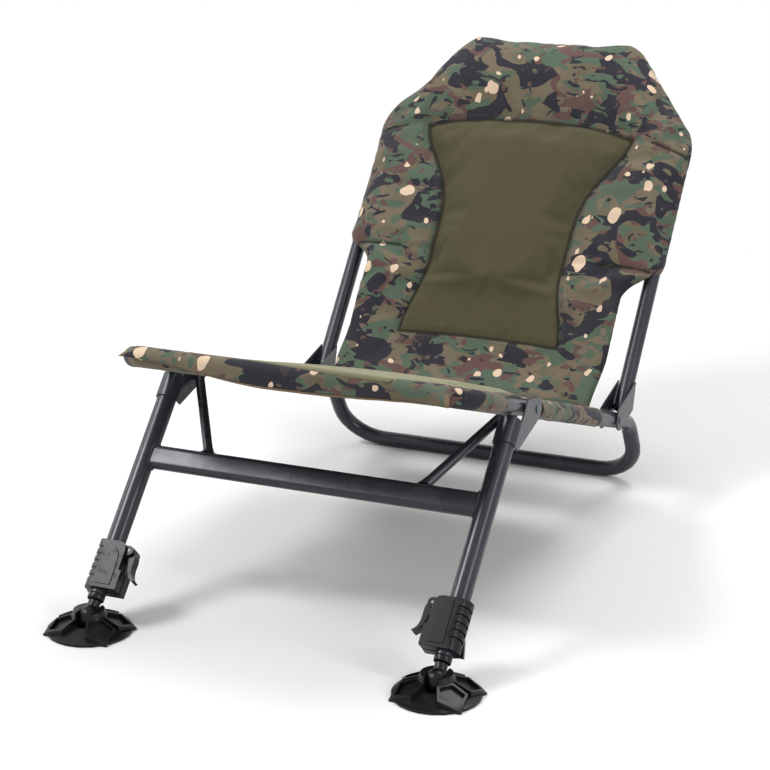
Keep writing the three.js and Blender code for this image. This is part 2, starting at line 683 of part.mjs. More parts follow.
// Bores for the two tubes, the clamping slit, the lever's slot and its pin's hole
function clampHollows() {
  const small = INNER_TUBE + 4 * GAP;
  const large = LEG_TUBE + 2 * GAP;
  const slot = LEVER_WIDE + 2 * GAP;
  const slotDeep = CLAMP_REACH - LEVER_PIN_REACH + LEVER_HEAD / 2 + 2 * GAP;
  const wall = -CLAMP_REACH + slotDeep;
  return join(
    barZ(small, -CLAMP_TALL - OVERRUN, OVERRUN, 0, 0, ROUND_SIDES),
    barZ(large, -CLAMP_SEAT - GAP, OVERRUN, 0, 0, ROUND_SIDES),
    block(TRACK, CLAMP_SLIT, TRACK, -TRACK / 2, 0, 0),
    block(TRACK, slot, CLAMP_TALL, wall - TRACK / 2, 0, CLAMP_FOOT_TALL / 2),
    barY(LEVER_PIN + GAP, -TRACK, TRACK, -LEVER_PIN_REACH, -LEVER_PIN_DROP, BORE_SIDES),
  );
}

function clampLever() {
  const head = LEVER_HEAD / 2;
  const pinX = -LEVER_PIN_REACH;
  const pinZ = -LEVER_PIN_DROP;
  const lever = new THREE.Shape();
  lever.absarc(pinX, pinZ, head, 0, HALF_TURN);
  const bowed = -LEVER_BELLY - LEVER_BOW;
  lever.quadraticCurveTo(bowed, -LEVER_BELLY_DROP / 2, -LEVER_BELLY, -LEVER_BELLY_DROP);
  lever.quadraticCurveTo(-LEVER_BELLY, -LEVER_WAIST_DROP, -LEVER_TIP, -LEVER_TIP_DROP);
  lever.lineTo(LEVER_TIP_THICK - LEVER_TIP, -LEVER_TIP_DROP - LEVER_TIP_SLANT);
  const inside = LEVER_THICK - LEVER_BELLY;
  lever.quadraticCurveTo(-LEVER_WAIST, -LEVER_WAIST_DROP, inside, -LEVER_BELLY_DROP);
  lever.quadraticCurveTo(pinX - GAP, pinZ - LEVER_HEAD, pinX + head, pinZ);
  const body = plateY(lever, LEVER_WIDE, 0);
  return body.subtract(barY(LEVER_PIN + 2 * GAP, -TRACK, TRACK, pinX, pinZ, BORE_SIDES));
}

function clampPin() {
  const half = LEVER_WIDE / 2 + GAP + LUG_WIDE;
  return barY(LEVER_PIN, -half, half, -LEVER_PIN_REACH, -LEVER_PIN_DROP, BORE_SIDES);
}

// Inner leg, plug and ball stud, in the same axes
const INNER_FOOT = -(CLAMP_TALL + INNER_TAIL);

function innerLeg() {
  const top = INNER_FOOT + INNER_LENGTH;
  const tube = barZ(INNER_TUBE, INNER_FOOT, top, 0, 0, ROUND_SIDES);
  const bore = INNER_TUBE - 2 * TUBE_WALL;
  return tube.subtract(barZ(bore, INNER_FOOT - OVERRUN, top + OVERRUN, 0, 0, BORE_SIDES));
}

function legPlug() {
  const lip = INNER_FOOT - GAP - PLUG_LIP;
  const radius = INNER_TUBE / 2;
  const inside = radius - TUBE_WALL - GAP;
  const shank = STUD / 2 + GAP;
  return lathe([
    [shank, lip],
    [radius - PLUG_CHAMFER, lip],
    [radius, lip + PLUG_CHAMFER],
    [radius, INNER_FOOT - GAP],
    [inside, INNER_FOOT - GAP],
    [inside, lip + PLUG_DEEP],
    [shank, lip + PLUG_DEEP],
    [shank, lip],
  ], BORE_SIDES);
}

function ballStud() {
  const neckTop = INNER_FOOT - 2 * GAP - PLUG_LIP;
  const radius = BALL / 2;
  const start = Math.asin(NECK / BALL);
  const profile = [
    [0, neckTop + PLUG_DEEP / 2],
    [STUD / 2, neckTop + PLUG_DEEP / 2],
    [STUD / 2, neckTop],
    [NECK / 2, neckTop],
  ];
  for (let i = 0; i <= BALL_RINGS; i++) {
    const around = start + ((HALF_TURN - start) * i) / BALL_RINGS;
    const r = i === BALL_RINGS ? 0 : radius * Math.sin(around);
    profile.push([r, radius * Math.cos(around) - CLAMP_TO_BALL]);
  }
  return lathe(profile.reverse(), ROUND_SIDES);
}

// Mud foot, in axes on the floor under the ball; its notch faces -Y

// A kite in plan, from the cup to the lobe's point, drawn in by the pocket's rims
function kite(turnZ, rim = 0, tipRim = 0) {
  const side = LOBE_HALF_WIDE - rim;
  const root = LOBE_ROOT + rim;
  const outline = new THREE.Shape();
  outline.moveTo(root, -side / 2);
  outline.lineTo(LOBE_WAIST, -side);
  outline.lineTo(FOOT_RADIUS - tipRim, 0);
  outline.lineTo(LOBE_WAIST, side);
  outline.lineTo(root, side / 2);
  const prism = new THREE.ExtrudeGeometry(outline, { depth: FOOT_RADIUS, bevelEnabled: false });
  return placed(prism, { turnZ, z: -OVERRUN });
}

// Everything below the lobe's sloping top, lowered by sunk
function lobeUnder(turnZ, sunk = 0) {
  const side = new THREE.Shape();
  side.moveTo(0, -FOOT_RADIUS);
  side.lineTo(FOOT_RADIUS + OVERRUN, -FOOT_RADIUS);
  side.lineTo(FOOT_RADIUS + OVERRUN, LOBE_TIP_TALL - sunk);
  side.lineTo(FOOT_RADIUS, LOBE_TIP_TALL - sunk);
  side.lineTo(LOBE_NOSE, LOBE_NOSE_TALL - sunk);
  side.lineTo(LOBE_WAIST, LOBE_WAIST_TALL - sunk);
  side.lineTo(LOBE_ROOT, LOBE_ROOT_TALL - sunk);
  side.lineTo(0, LOBE_ROOT_TALL - sunk);
  return plateY(side, 2 * LOBE_HALF_WIDE + OVERRUN, 0, turnZ);
}

function footCup() {
  const cup = lathe([
    [0, -OVERRUN],
    [CUP_FOOT_RADIUS, -OVERRUN],
    [CUP_FOOT_RADIUS, CUP_FOOT_TALL],
    [CUP_RADIUS, CUP_TALL],
    [0, CUP_TALL],
  ], ROUND_SIDES);
  const middle = NOTCH_FLOOR + NOTCH_WIDE / 2;
  const notch = join(
    block(NOTCH_WIDE, 2 * FOOT_RADIUS, FOOT_RADIUS, 0, 0, middle + FOOT_RADIUS / 2),
    barY(NOTCH_WIDE, -FOOT_RADIUS, FOOT_RADIUS, 0, middle),
  );
  return cup.subtract(notch);
}

function mudFoot() {
  let foot = lathe([
    [0, -OVERRUN],
    [SKIRT_RADIUS, -OVERRUN],
    [SKIRT_RADIUS, SKIRT_EDGE],
    [CUP_FOOT_RADIUS, SKIRT_TALL],
    [NOTCH_WIDE, NOTCH_FLOOR],
    [0, NOTCH_FLOOR],
  ], 2 * BORE_SIDES);
  const first = QUARTER_TURN - radians(LOBE_PITCH * (LOBE_COUNT - 1)) / 2;
  const turns = Array.from({ length: LOBE_COUNT }, (_, i) => first + radians(i * LOBE_PITCH));
  for (const turn of turns) foot = foot.add(kite(turn).intersect(lobeUnder(turn)));
  for (const turn of turns) {
    const pocket = kite(turn, POCKET_RIM, POCKET_TIP_RIM);
    foot = foot.subtract(pocket.subtract(lobeUnder(turn, POCKET_DEEP)));
  }
  const socket = new THREE.SphereGeometry(BALL / 2 + 2 * GAP, ROUND_SIDES, BALL_RINGS);
  const ballRoom = placed(socket, { turnX: QUARTER_TURN, z: BALL_HEIGHT });
  const floor = block(TRACK, TRACK, TRACK, 0, 0, -TRACK / 2);
  return foot.add(footCup()).subtract(join(ballRoom, floor));
}

// Seat, in the rail's axes

const SLEEVE = FRAME_TUBE + 2 * (GAP + SLEEVE_WALL);

function frontSleeveLine() {
  const line = frontFrameLine();
  line.stations[0].point.y = SLEEVE_FRONT_END;
  line.stations.at(-1).point.y = SLEEVE_FRONT_END;
  return line;
}

function seatSling() {
  const front = frontTip;
  const rear = SLEEVE_REAR_END;
  const thick = SLING_THICK;
  let sheet = block(TRACK, rear - front, thick, 0, (rear + front) / 2, SLING_TOP - thick / 2);
  for (const side of [-1, 1]) {
    const x = side * (HALF_TRACK - FRONT_BEND);
    const y = frontTip + FRONT_BEND;
    const middleX = x + (side * FRONT_BEND) / 2;
    const square = block(FRONT_BEND, FRONT_BEND, FRAME_TUBE, middleX, y - FRONT_BEND / 2, 0);
    const round = barZ(2 * FRONT_BEND, -FRAME_TUBE, FRAME_TUBE, x, y, 4 * BEND_STEPS);
    sheet = sheet.subtract(square.subtract(round));
    const bare = SLEEVE_REAR_START - SLEEVE_FRONT_END;
    const middle = (SLEEVE_REAR_START + SLEEVE_FRONT_END) / 2;
    sheet = sheet.subtract(block(2 * SLING_NOTCH, bare, FRAME_TUBE, side * HALF_TRACK, middle, 0));
  }
  let sleeves = sweep(roundSection(SLEEVE), frontSleeveLine());
  for (const x of [-HALF_TRACK, HALF_TRACK]) {
    sleeves = sleeves.add(barY(SLEEVE, SLEEVE_REAR_START, SLEEVE_REAR_END, x, 0, TUBE_SIDES));
  }
  return sleeves.add(sheet).subtract(sweep(roundSection(FRAME_TUBE + 2 * GAP), longFrontLine()));
}

// The front tube's line with its two legs carried on to the rear
function longFrontLine() {
  const line = frontFrameLine();
  line.stations[0].point.y = RAIL_SPAN;
  line.stations.at(-1).point.y = RAIL_SPAN;
  return line;
}

// One section of the seat pad across the rail, as [y, z] points, from its hem over the top
function seatSection(share) {
  const crown = 1 - Math.abs(share) ** 3;
  const corner = Math.abs(share) ** 4;
  const reach = lerp(SEAT_NOSE, SEAT_NOSE_TIP, corner) - RAIL_FRONT;
  const hem = -lerp(SEAT_HEM, SEAT_HEM_TIP, corner);
  const under = SLEEVE / 2 + GAP;
  const top = under + SEAT_WRAP;
  const floor = SLING_TOP + GAP;
  const back = frontTip - under;
  const points = [
    [back, hem],
    [frontTip - reach, hem],
  ];
  for (let i = 0; i <= NOSE_STEPS; i++) {
    const turned = (QUARTER_TURN * i) / NOSE_STEPS;
    points.push([frontTip - reach * Math.cos(turned), top * Math.sin(turned)]);
  }
  points.push([frontTip + 2 * under, top]);
  seatRunShares.forEach((run, i) => {
    const rise = SEAT_SIDE_TALL + (SEAT_CROWN - SEAT_SIDE_TALL) * crown * seatRiseShares[i];
    points.push([lerp(frontTip, SEAT_REAR, run), rise]);
  });
  points.push([SEAT_REAR, floor]);
  points.push([back, floor]);
  return points;
}

function seatPad() {
  const rings = [];
  for (let i = 0; i <= SEAT_COLUMNS; i++) {
    const share = Math.sin(((2 * i) / SEAT_COLUMNS - 1) * QUARTER_TURN);
    rings.push(seatSection(share).map(([y, z]) => at(share * (HALF_TRACK - SEAT_EDGE_IN), y, z)));
  }
  const pad = loft(rings.reverse(), (point) => new THREE.Vector2(point.y, point.z));
  return pad.subtract(sweep(roundSection(SLEEVE + 2 * GAP), longFrontLine()));
}

// Back, in its own axes about the hinge bolt: z up the back, y to its rear
const railInBack = backTilt - railSlope; // the rail rises to the rear in these axes
const BACK_FOOT = FRAME_TUBE / 2 / Math.cos(railInBack)
  + (BACK_SET + BACK_TUBE / 2) * Math.tan(railInBack) + GAP;

function backLine(foot) {
  return new BentLine(
    [
      at(-HALF_TRACK, BACK_SET, foot),
      at(-HALF_TRACK, BACK_SET, SHOULDER_HEIGHT),
      at(TOP_CORNER_IN - HALF_TRACK, BACK_SET, BACK_LENGTH),
      at(HALF_TRACK - TOP_CORNER_IN, BACK_SET, BACK_LENGTH),
      at(HALF_TRACK, BACK_SET, SHOULDER_HEIGHT),
      at(HALF_TRACK, BACK_SET, foot),
    ],
    [SHOULDER_BEND, SHOULDER_BEND, SHOULDER_BEND, SHOULDER_BEND],
    [SOFT_BEND_STEPS, SOFT_BEND_STEPS, SOFT_BEND_STEPS, SOFT_BEND_STEPS],
  );
}

function backTube() {
  let tube = sweep(roundSection(BACK_TUBE), backLine(BACK_FOOT));
  const bore = BACK_TUBE - 2 * TUBE_WALL;
  const end = BACK_FOOT + OPEN_END;
  for (const x of [-HALF_TRACK, HALF_TRACK]) {
    tube = tube.subtract(barZ(bore, BACK_FOOT - OVERRUN, end, x, BACK_SET, BORE_SIDES));
  }
  return tube;
}

const FORK_IN = FRAME_TUBE / 2 + GAP;
const FORK_OUT = FORK_IN + PLATE;

// Two plates that straddle the back tube and the frame, with a web behind the tube
function backBracket() {
  const web = BACK_SET + BACK_TUBE / 2 + GAP + PLATE;
  const side = outlineRound([
    [0, 0, BACK_EAR_RADIUS],
    [-BACK_BRACKET_TOE, BACK_BRACKET_TOE_RISE, 0],
    [BACK_SET - PLATE, BACK_BRACKET_RISE, 0],
    [web, BACK_BRACKET_HEEL, 0],
    [BACK_SET + PLATE, BACK_WEB_RISE, 0],
  ]);
  const plates = [plateX(side, FORK_IN, FORK_OUT), plateX(side, -FORK_OUT, -FORK_IN)];
  const low = BACK_FOOT + PLATE;
  const middle = (BACK_WEB_RISE + low) / 2;
  let rear = block(2 * FORK_OUT, PLATE, BACK_WEB_RISE - low, 0, web - PLATE / 2, middle);
  rear = rear.intersect(plateX(side, -FORK_OUT, FORK_OUT));
  const hole = barX(BOLT + 2 * GAP, -TRACK, TRACK, 0, 0, BORE_SIDES);
  return join(rear, ...plates).subtract(hole);
}

const slant = Math.atan2(TOP_CORNER_IN, BACK_LENGTH - SHOULDER_HEIGHT);

// Half width, at a height, of the line that runs outside the bent tube by PAD_WRAP
function wrapHalf(z) {
  const radius = SHOULDER_BEND + PAD_WRAP;
  const lowX = HALF_TRACK - SHOULDER_BEND;
  const lowZ = SHOULDER_HEIGHT - SHOULDER_BEND * Math.tan(slant / 2);
  if (z <= lowZ) return HALF_TRACK + PAD_WRAP;
  if (z <= lowZ + radius * Math.sin(slant)) return lowX + Math.sqrt(radius ** 2 - (z - lowZ) ** 2);
  const highX = HALF_TRACK - TOP_CORNER_IN - SHOULDER_BEND * Math.tan((QUARTER_TURN - slant) / 2);
  const highZ = BACK_LENGTH - SHOULDER_BEND;
  if (z >= highZ + radius * Math.sin(slant)) {
    return highX + Math.sqrt(Math.max(radius ** 2 - (z - highZ) ** 2, 0));
  }
  const outside = PAD_WRAP / Math.cos(slant);
  return HALF_TRACK - (z - SHOULDER_HEIGHT) * Math.tan(slant) + outside;
}

const faceShares = [0, 0.5, 0.9]; // points across half of the padded face
// The pad's rows from its foot: [rise in edge thicknesses, edge's share, face's share]
const footRowShares = [[0, 0.3, 0], [0.5, 0.8, 0.6], [2, 1, 0.9]];
const wingRowShares = [0, 0.3, 0.55, 0.8, 1]; // from the wings' foot to their full width
const faceRowShares = [0.35, 0.7]; // from there to the panel's top
const headRowShares = [[0.3, 0.85], [0.6, 0.5], [0.85, 0.15], [1, 0]]; // [rise, face's share]
const topTurnShares = [0.35, 0.65, 0.9]; // round the top tube

function padHalf(z) {
  const inward = lerp(PAD_FOOT_IN, PAD_EDGE_IN, smooth(z, PAD_FOOT, PANEL_FOOT));
  const wide = lerp(HALF_TRACK - inward, HALF_TRACK + PAD_WRAP, smooth(z, WING_FOOT, WING_RISE));
  return Math.min(wide, wrapHalf(z));
}

function panelHalf(z) {
  const waisted = smooth(z, PANEL_FOOT, (PANEL_FOOT + WING_RISE) / 2);
  const flared = smooth(z, WING_FOOT, PANEL_TOP) ** PANEL_FLARE;
  return HALF_TRACK - lerp(lerp(PANEL_FOOT_IN, PANEL_WAIST_IN, waisted), PANEL_TOP_IN, flared);
}

// Half of one section of the back pad, as [x, y] from the middle of its front to its edge.
// edgeShare rounds the pad's lower and upper ends, faceShare takes the padded face down to them
function padFront(z, edgeShare, faceShare) {
  const half = padHalf(z);
  const winged = smooth(z, WING_FOOT, WING_RISE);
  const middle = BACK_SET - lerp(PAD_LOWER_SET, 0, winged);
  const edge = lerp(PAD_EDGE, PAD_WRAP - GAP, winged) * edgeShare;
  const face = lerp(middle - edge, BACK_SET - PAD_FACE, faceShare);
  const seam = Math.min(panelHalf(z), half - 2 * (PAD_WRAP + SEAM_WIDE));
  const seamed = z >= PANEL_FOOT && z <= PANEL_TOP;
  const slope = (x) => lerp(face, middle - edge, smooth(x, seam, half - edge));
  const groove = seamed ? SEAM_DEEP : 0;
  const lined = z === PANEL_FOOT || z === PANEL_TOP ? SEAM_DEEP : 0;
  const points = faceShares.map((share) => [seam * share, face + lined]);
  points.push([seam, face + groove]);
  points.push([seam + SEAM_WIDE, slope(seam + SEAM_WIDE)]);
  points.push([(seam + half) / 2, slope((seam + half) / 2)]);
  for (let i = 0; i <= NOSE_STEPS; i++) {
    const turned = (QUARTER_TURN * i) / NOSE_STEPS;
    points.push([half - edge + edge * Math.sin(turned), middle - edge * Math.cos(turned)]);
  }
  const rear = middle + Math.min(PAD_BACK, edge);
  for (let i = 1; i <= NOSE_STEPS; i++) {
    const turned = (QUARTER_TURN * i) / NOSE_STEPS;
    points.push([half - edge + edge * Math.cos(turned), middle + edge * Math.sin(turned)]);
  }
  points.push([half - 2 * PAD_WRAP, rear]);
  points.push([0, rear]);
  return points;
}

function padSection(z, edgeShare, faceShare) {
  const right = padFront(z, edgeShare, faceShare);
  const left = right.slice(1, -1).map(([x, y]) => [-x, y]).reverse();
  return [...right, ...left].map(([x, y]) => at(x, y, z));
}

function backPad() {
  const full = [
    PANEL_FOOT - SEAM_WIDE,
    PANEL_FOOT,
    PANEL_FOOT + SEAM_WIDE,
    (PANEL_FOOT + WING_FOOT) / 2,
    ...wingRowShares.map((share) => lerp(WING_FOOT, WING_RISE, share)),
    ...faceRowShares.map((share) => lerp(WING_RISE, PANEL_TOP, share)),
    PANEL_TOP - SEAM_WIDE,
    PANEL_TOP,
    PANEL_TOP + SEAM_WIDE,
  ];
  const rows = [
    ...footRowShares.map(([share, edge, face]) => [PAD_FOOT + share * PAD_EDGE, edge, face]),
    ...full.map((z) => [z, 1, 1]),
    ...headRowShares.map(([share, face]) => [lerp(PANEL_TOP, BACK_LENGTH, share), 1, face]),
  ];
  for (const turned of topTurnShares.map((share) => share * QUARTER_TURN)) {
    rows.push([BACK_LENGTH + PAD_WRAP * Math.sin(turned), Math.cos(turned), 0]);
  }
  const pad = loft(rows.map((row) => padSection(...row)));
  return pad.subtract(sweep(roundSection(BACK_TUBE + 2 * GAP), backLine(0)));
}

// The scene: groups stand at the pivots, so that every piece is built in its own axes

function group(parent, { x = 0, y = 0, z = 0, turnX = 0, scaleX = 1 } = {}) {
  const made = new THREE.Group();
  made.position.set(x, y, z);
  made.rotation.x = turnX;
  made.scale.x = scaleX;
  parent.add(made);
  return made;
}

const chair = new THREE.Group();
const legY = -(LEG_SET * Math.cos(legTilt) + BALL_DROP * Math.sin(legTilt));
const frame = group(chair, { z: PIVOT_HEIGHT, turnX: -railSlope });
const legs = group(chair, { z: PIVOT_HEIGHT, turnX: -legTilt });
const back = group(chair, { y: RAIL_SPAN * Math.cos(railSlope), z: HINGE_HEIGHT, turnX: -backTilt });

frame.add(named("front_frame_tube", frontFrameTube(), paint));
frame.add(named("rear_frame_tube", rearFrameTube(), paint));
frame.add(named("seat_sling", seatSling(), printed));
frame.add(named("seat_pad", seatPad(), printed));
legs.add(named("leg_crossbar", crossbar(), paint));
back.add(named("back_tube", backTube(), paint));
back.add(named("back_pad", backPad(), printed));

for (const [side, scaleX] of [["left", -1], ["right", 1]]) {
  const x = scaleX * HALF_TRACK;
  const pivot = group(frame, { x, scaleX });
  pivot.add(named(side + "_pivot_bolt", bolt(STRAP_OUT, -TAB_IN), steel));
  pivot.add(named(side + "_pivot_nut", nut(-TAB_IN), steel));
  const hinge = group(frame, { x, y: RAIL_SPAN, scaleX });
  hinge.add(named(side + "_hinge_bolt", bolt(FORK_OUT, -FORK_OUT), steel));
  hinge.add(named(side + "_hinge_nut", nut(-FORK_OUT), steel));
  const leg = group(legs, { x, scaleX });
  leg.add(named(side + "_leg_tube", legTube(), paint));
  leg.add(named(side + "_leg_bracket", legBracket(), paint));
  leg.add(named(side + "_leg_strut", legStrut(), paint));
  const clamp = group(leg, { y: -LEG_SET, z: -CLAMP_DROP });
  clamp.add(named(side + "_clamp_body", clampBody(), plastic));
  clamp.add(named(side + "_clamp_lever", clampLever(), plastic));
  clamp.add(named(side + "_clamp_pin", clampPin(), steel));
  clamp.add(named(side + "_inner_leg", innerLeg(), paint));
  clamp.add(named(side + "_leg_plug", legPlug(), plastic));
  clamp.add(named(side + "_ball_stud", ballStud(), plastic));
  const foot = group(chair, { x, y: legY, scaleX });
  foot.add(named(side + "_mud_foot", mudFoot(), rubber));
  const bracket = group(back, { x, scaleX });
  bracket.add(named(side + "_back_bracket", backBracket(), paint));
}

// The origin: on the floor, in the middle of the chair's length and width
chair.updateMatrixWorld(true);
chair.position.y = -new THREE.Box3().setFromObject(chair, true).getCenter(new THREE.Vector3()).y;

export default chair;
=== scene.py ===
# %% [markdown]
# # A folding low chair for the bank
# The chair has a bent steel frame, a padded seat and back in printed cloth, and two telescopic
# front legs on mud feet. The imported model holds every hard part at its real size. This lesson
# gives those parts their finishes, and sews the soft parts round them.

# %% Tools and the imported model
import math
import random

import bmesh
import bpy
from mathutils import Matrix, Vector, noise


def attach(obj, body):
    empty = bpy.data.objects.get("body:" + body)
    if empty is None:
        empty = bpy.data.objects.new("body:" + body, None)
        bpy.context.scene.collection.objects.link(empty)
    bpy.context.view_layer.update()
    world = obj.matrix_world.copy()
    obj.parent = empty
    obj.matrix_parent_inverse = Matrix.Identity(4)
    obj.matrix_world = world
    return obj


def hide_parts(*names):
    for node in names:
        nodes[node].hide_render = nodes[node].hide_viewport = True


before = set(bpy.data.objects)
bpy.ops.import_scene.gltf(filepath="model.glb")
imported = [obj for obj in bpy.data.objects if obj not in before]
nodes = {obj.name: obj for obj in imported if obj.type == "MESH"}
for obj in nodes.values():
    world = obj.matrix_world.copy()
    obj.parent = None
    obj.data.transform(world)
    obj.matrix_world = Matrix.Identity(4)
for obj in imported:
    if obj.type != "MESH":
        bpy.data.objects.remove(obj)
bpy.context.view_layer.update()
random.seed(11)

# %% [markdown]
# ## Camera
# The photograph was taken from in front of the chair and to its right, a little above seat
# height. The camera looks at a point in the middle of the chair, and its shift puts that point
# where the photograph has it.

# %% Camera
CAMERA_TURN = math.radians(24.8)
CAMERA_RISE = math.radians(17.26)
CAMERA_ROLL = math.radians(-0.58)
CAMERA_DISTANCE = 2.7273
CAMERA_LENS = 103.47
CAMERA_SHIFT = (0.073, -0.0171)
LOOK_AT = Vector((0, -0.2935, 0.3))

right = Vector((math.cos(CAMERA_TURN), math.sin(CAMERA_TURN), 0))
toward = Vector((
    math.sin(CAMERA_TURN) * math.cos(CAMERA_RISE),
    -math.cos(CAMERA_TURN) * math.cos(CAMERA_RISE),
    math.sin(CAMERA_RISE),
))
up = toward.cross(right)
rolled_right = right * math.cos(CAMERA_ROLL) + up * math.sin(CAMERA_ROLL)
rolled_up = up * math.cos(CAMERA_ROLL) - right * math.sin(CAMERA_ROLL)
camera = bpy.data.objects.new("camera", bpy.data.cameras.new("camera"))
camera.matrix_world = Matrix.Translation(LOOK_AT + toward * CAMERA_DISTANCE) @ Matrix(
    (rolled_right, rolled_up, toward)).transposed().to_4x4()
camera.data.lens = CAMERA_LENS
camera.data.shift_x, camera.data.shift_y = CAMERA_SHIFT
bpy.context.scene.collection.objects.link(camera)
bpy.context.scene.camera = camera
print("camera at", [round(v, 3) for v in camera.matrix_world.translation])

# %% [markdown]
# ## Shader maths in Python
# A finish is built from nodes, and most of them only add, multiply or compare. A small class
# holds a socket, so that such maths reads as ordinary Python. One method adds any other node.

# %% Sockets as Python values
class Wire:
    """A node's output socket that can be used in sums."""

    def __init__(self, finish, socket):
        self.finish = finish
        self.socket = socket

    def math(self, operation, *values):
        return self.finish.node("Math", dict(enumerate(values)), operation=operation)

    def __add__(self, other):
        return self.math("ADD", self, other)

    def __sub__(self, other):
        return self.math("SUBTRACT", self, other)

    def __rsub__(self, other):
        return self.math("SUBTRACT", other, self)

    def __mul__(self, other):
        return self.math("MULTIPLY", self, other)

    __radd__ = __add__
    __rmul__ = __mul__

    def between(self, low, high):
        """0 below low and 1 above high, or the reverse, with a smooth step between them."""
        sockets = {"Value": self, "From Min": low, "From Max": high}
        return self.finish.node("MapRange", sockets, interpolation_type="SMOOTHSTEP")


class Finish:
    """A material with one Principled shader, and helpers that add nodes to it."""

    def __init__(self, name, **uniform):
        self.material = bpy.data.materials.new(name)
        self.material.use_nodes = True
        self.tree = self.material.node_tree
        self.shader = self.tree.nodes["Principled BSDF"]
        for socket, value in uniform.items():
            self.shader.inputs[socket.replace("_", " ")].default_value = value

    def node(self, kind, sockets, output=0, **settings):
        made = self.tree.nodes.new("ShaderNode" + kind)
        for name, value in settings.items():
            setattr(made, name, value)
        for socket, value in sockets.items():
            self.plug(value, made.inputs[socket])
        return Wire(self, made.outputs[output])

    def plug(self, value, socket):
        if isinstance(value, Wire):
            self.tree.links.new(value.socket, socket)
        else:
            socket.default_value = value

    def place(self, turn=0.0, stretch=(1.0, 1.0, 1.0), shift=(0.0, 0.0, 0.0)):
        """The point on the piece, in its own axes, turned about X and stretched."""
        point = self.node("TexCoord", {}, "Object")
        sockets = {"Vector": point, "Rotation": (turn, 0, 0), "Scale": stretch, "Location": shift}
        return self.node("Mapping", sockets)

    def noise(self, point, size, detail=2.0, rough=0.5, twist=0.0):
        """Soft cloudy noise whose blobs are about size metres across."""
        sockets = {"Vector": point, "Scale": 1 / size, "Detail": detail}
        sockets.update({"Roughness": rough, "Distortion": twist})
        return self.node("TexNoise", sockets)

    def blend(self, mask, under, over):
        """Colour over on top of colour under where the mask is 1."""
        return self.node("Mix", {0: mask, 6: under, 7: over}, 2, data_type="RGBA")

    def painted(self, name):
        """A number stored on the mesh, point by point."""
        return self.node("Attribute", {}, "Fac", attribute_name=name)

    def set(self, socket, value):
        self.plug(value, self.shader.inputs[socket])

    def done(self, colour, roughness, height, depth, strength):
        """The finished material. Its small relief is depth metres high where height is 1."""
        self.set("Base Color", colour)
        self.set("Roughness", roughness)
        sockets = {"Height": height, "Distance": depth, "Strength": strength}
        self.set("Normal", self.node("Bump", sockets))
        return self.material


def tint(red, green, blue):
    """A colour picked on the screen, each part over 10, as the shader wants it."""
    straight = [(part / 255 + 0.055) ** 2.4 / 1.055 ** 2.4 for part in (red, green, blue)]
    return (*straight, 1.0)


print("tint of middle grey:", [round(v, 3) for v in tint(128, 128, 128)])

# %% [markdown]
# ## Metal and plastic
# The tubes are powder coated in dark grey with a satin shine. The coat has a very fine orange
# peel, and dust dulls it in soft patches. The clamps and feet are moulded in black plastic with
# a spark eroded grain, which is coarser on the feet.

# %% Powder coat
def powder_coat():
    coat = Finish("powder coat", Metallic=0.2, Specular_IOR_Level=0.35)
    point = coat.place()
    peel = coat.noise(point, 0.0014, 1.0)
    dust = coat.noise(point, 0.05, 4.0, 0.6).between(0.42, 0.72)
    scuffs = coat.noise(coat.place(stretch=(1.0, 1.0, 0.12)), 0.0035, 3.0, 0.7).between(0.7, 0.78)
    colour = coat.blend(dust * 0.35, tint(46, 48, 55), tint(60, 62, 69))
    colour = coat.blend(scuffs * 0.25, colour, tint(84, 86, 94))
    return coat.done(colour, 0.25 + dust * 0.1 + scuffs * 0.1, peel, 0.00004, 0.35)


def plated_steel():
    steel = Finish("plated steel", Metallic=0.9)
    stain = steel.noise(steel.place(), 0.004, 3.0, 0.6)
    colour = steel.blend(stain, tint(72, 74, 82), tint(128, 130, 138))
    return steel.done(colour, 0.24 + stain * 0.2, stain, 0.00003, 0.3)


def moulded_plastic(name, colour, worn, rough, grain):
    plastic = Finish(name, Specular_IOR_Level=0.22)
    point = plastic.place()
    fine = plastic.noise(point, grain, 2.0)
    wear = plastic.noise(point, 0.012, 5.0, 0.65).between(0.5, 0.75)
    colour = plastic.blend(wear * 0.5, colour, worn)
    return plastic.done(colour, rough + wear * 0.12, fine, 0.00006, 0.3)


coated = powder_coat()
plated = plated_steel()
clamp_black = moulded_plastic("clamp plastic", tint(15, 16, 20), tint(30, 31, 36), 0.3, 0.0009)
foot_black = moulded_plastic("foot plastic", tint(15, 16, 19), tint(33, 34, 38), 0.3, 0.0012)
print("finishes:", coated.name, plated.name, clamp_black.name, foot_black.name)

# %% [markdown]
# ## Printed cloth
# The covers are polyester with a woodland print: a taupe ground, then green, brown and slate
# blobs one over the other, and pale flecks on top. Each colour is its own soft noise cut off at
# a sharp edge, as a printer lays one screen over another. The flecks are cells of a Voronoi
# pattern, kept small so that ground shows between them. A plain weave gives the cloth its relief.

# %% Woodland print
GROUND = tint(116, 105, 88)
MOSS = tint(83, 99, 83)
BARK = tint(97, 73, 69)
SLATE = tint(42, 41, 50)
SHADE = tint(99, 92, 73)
FLECK = tint(226, 199, 172)
# The colour of the painted shade that darkens the cloth along its seams.
SEAM_SHADE = tint(26, 26, 20)
SHARP = 0.01


def weave(cloth, turn, pitch):
    """The height of crossing threads, pitch metres apart, across and along the piece."""
    point = cloth.place(turn)
    threads = []
    for direction in ("X", "Z"):
        sockets = {"Vector": point, "Scale": math.pi / 10 / pitch}
        sockets.update({"Distortion": 1.2, "Detail Scale": 0.4})
        threads.append(cloth.node("TexWave", sockets, "Fac", bands_direction=direction))
    return threads[0] * threads[1]


def layer(cloth, turn, shift, size, stretch, cut):
    """Where one screen of the print is inked: blobs of noise above a cut."""
    point = cloth.place(turn, stretch, shift)
    return cloth.noise(point, size, 1.5, 0.45, 0.7).between(cut, cut + SHARP)


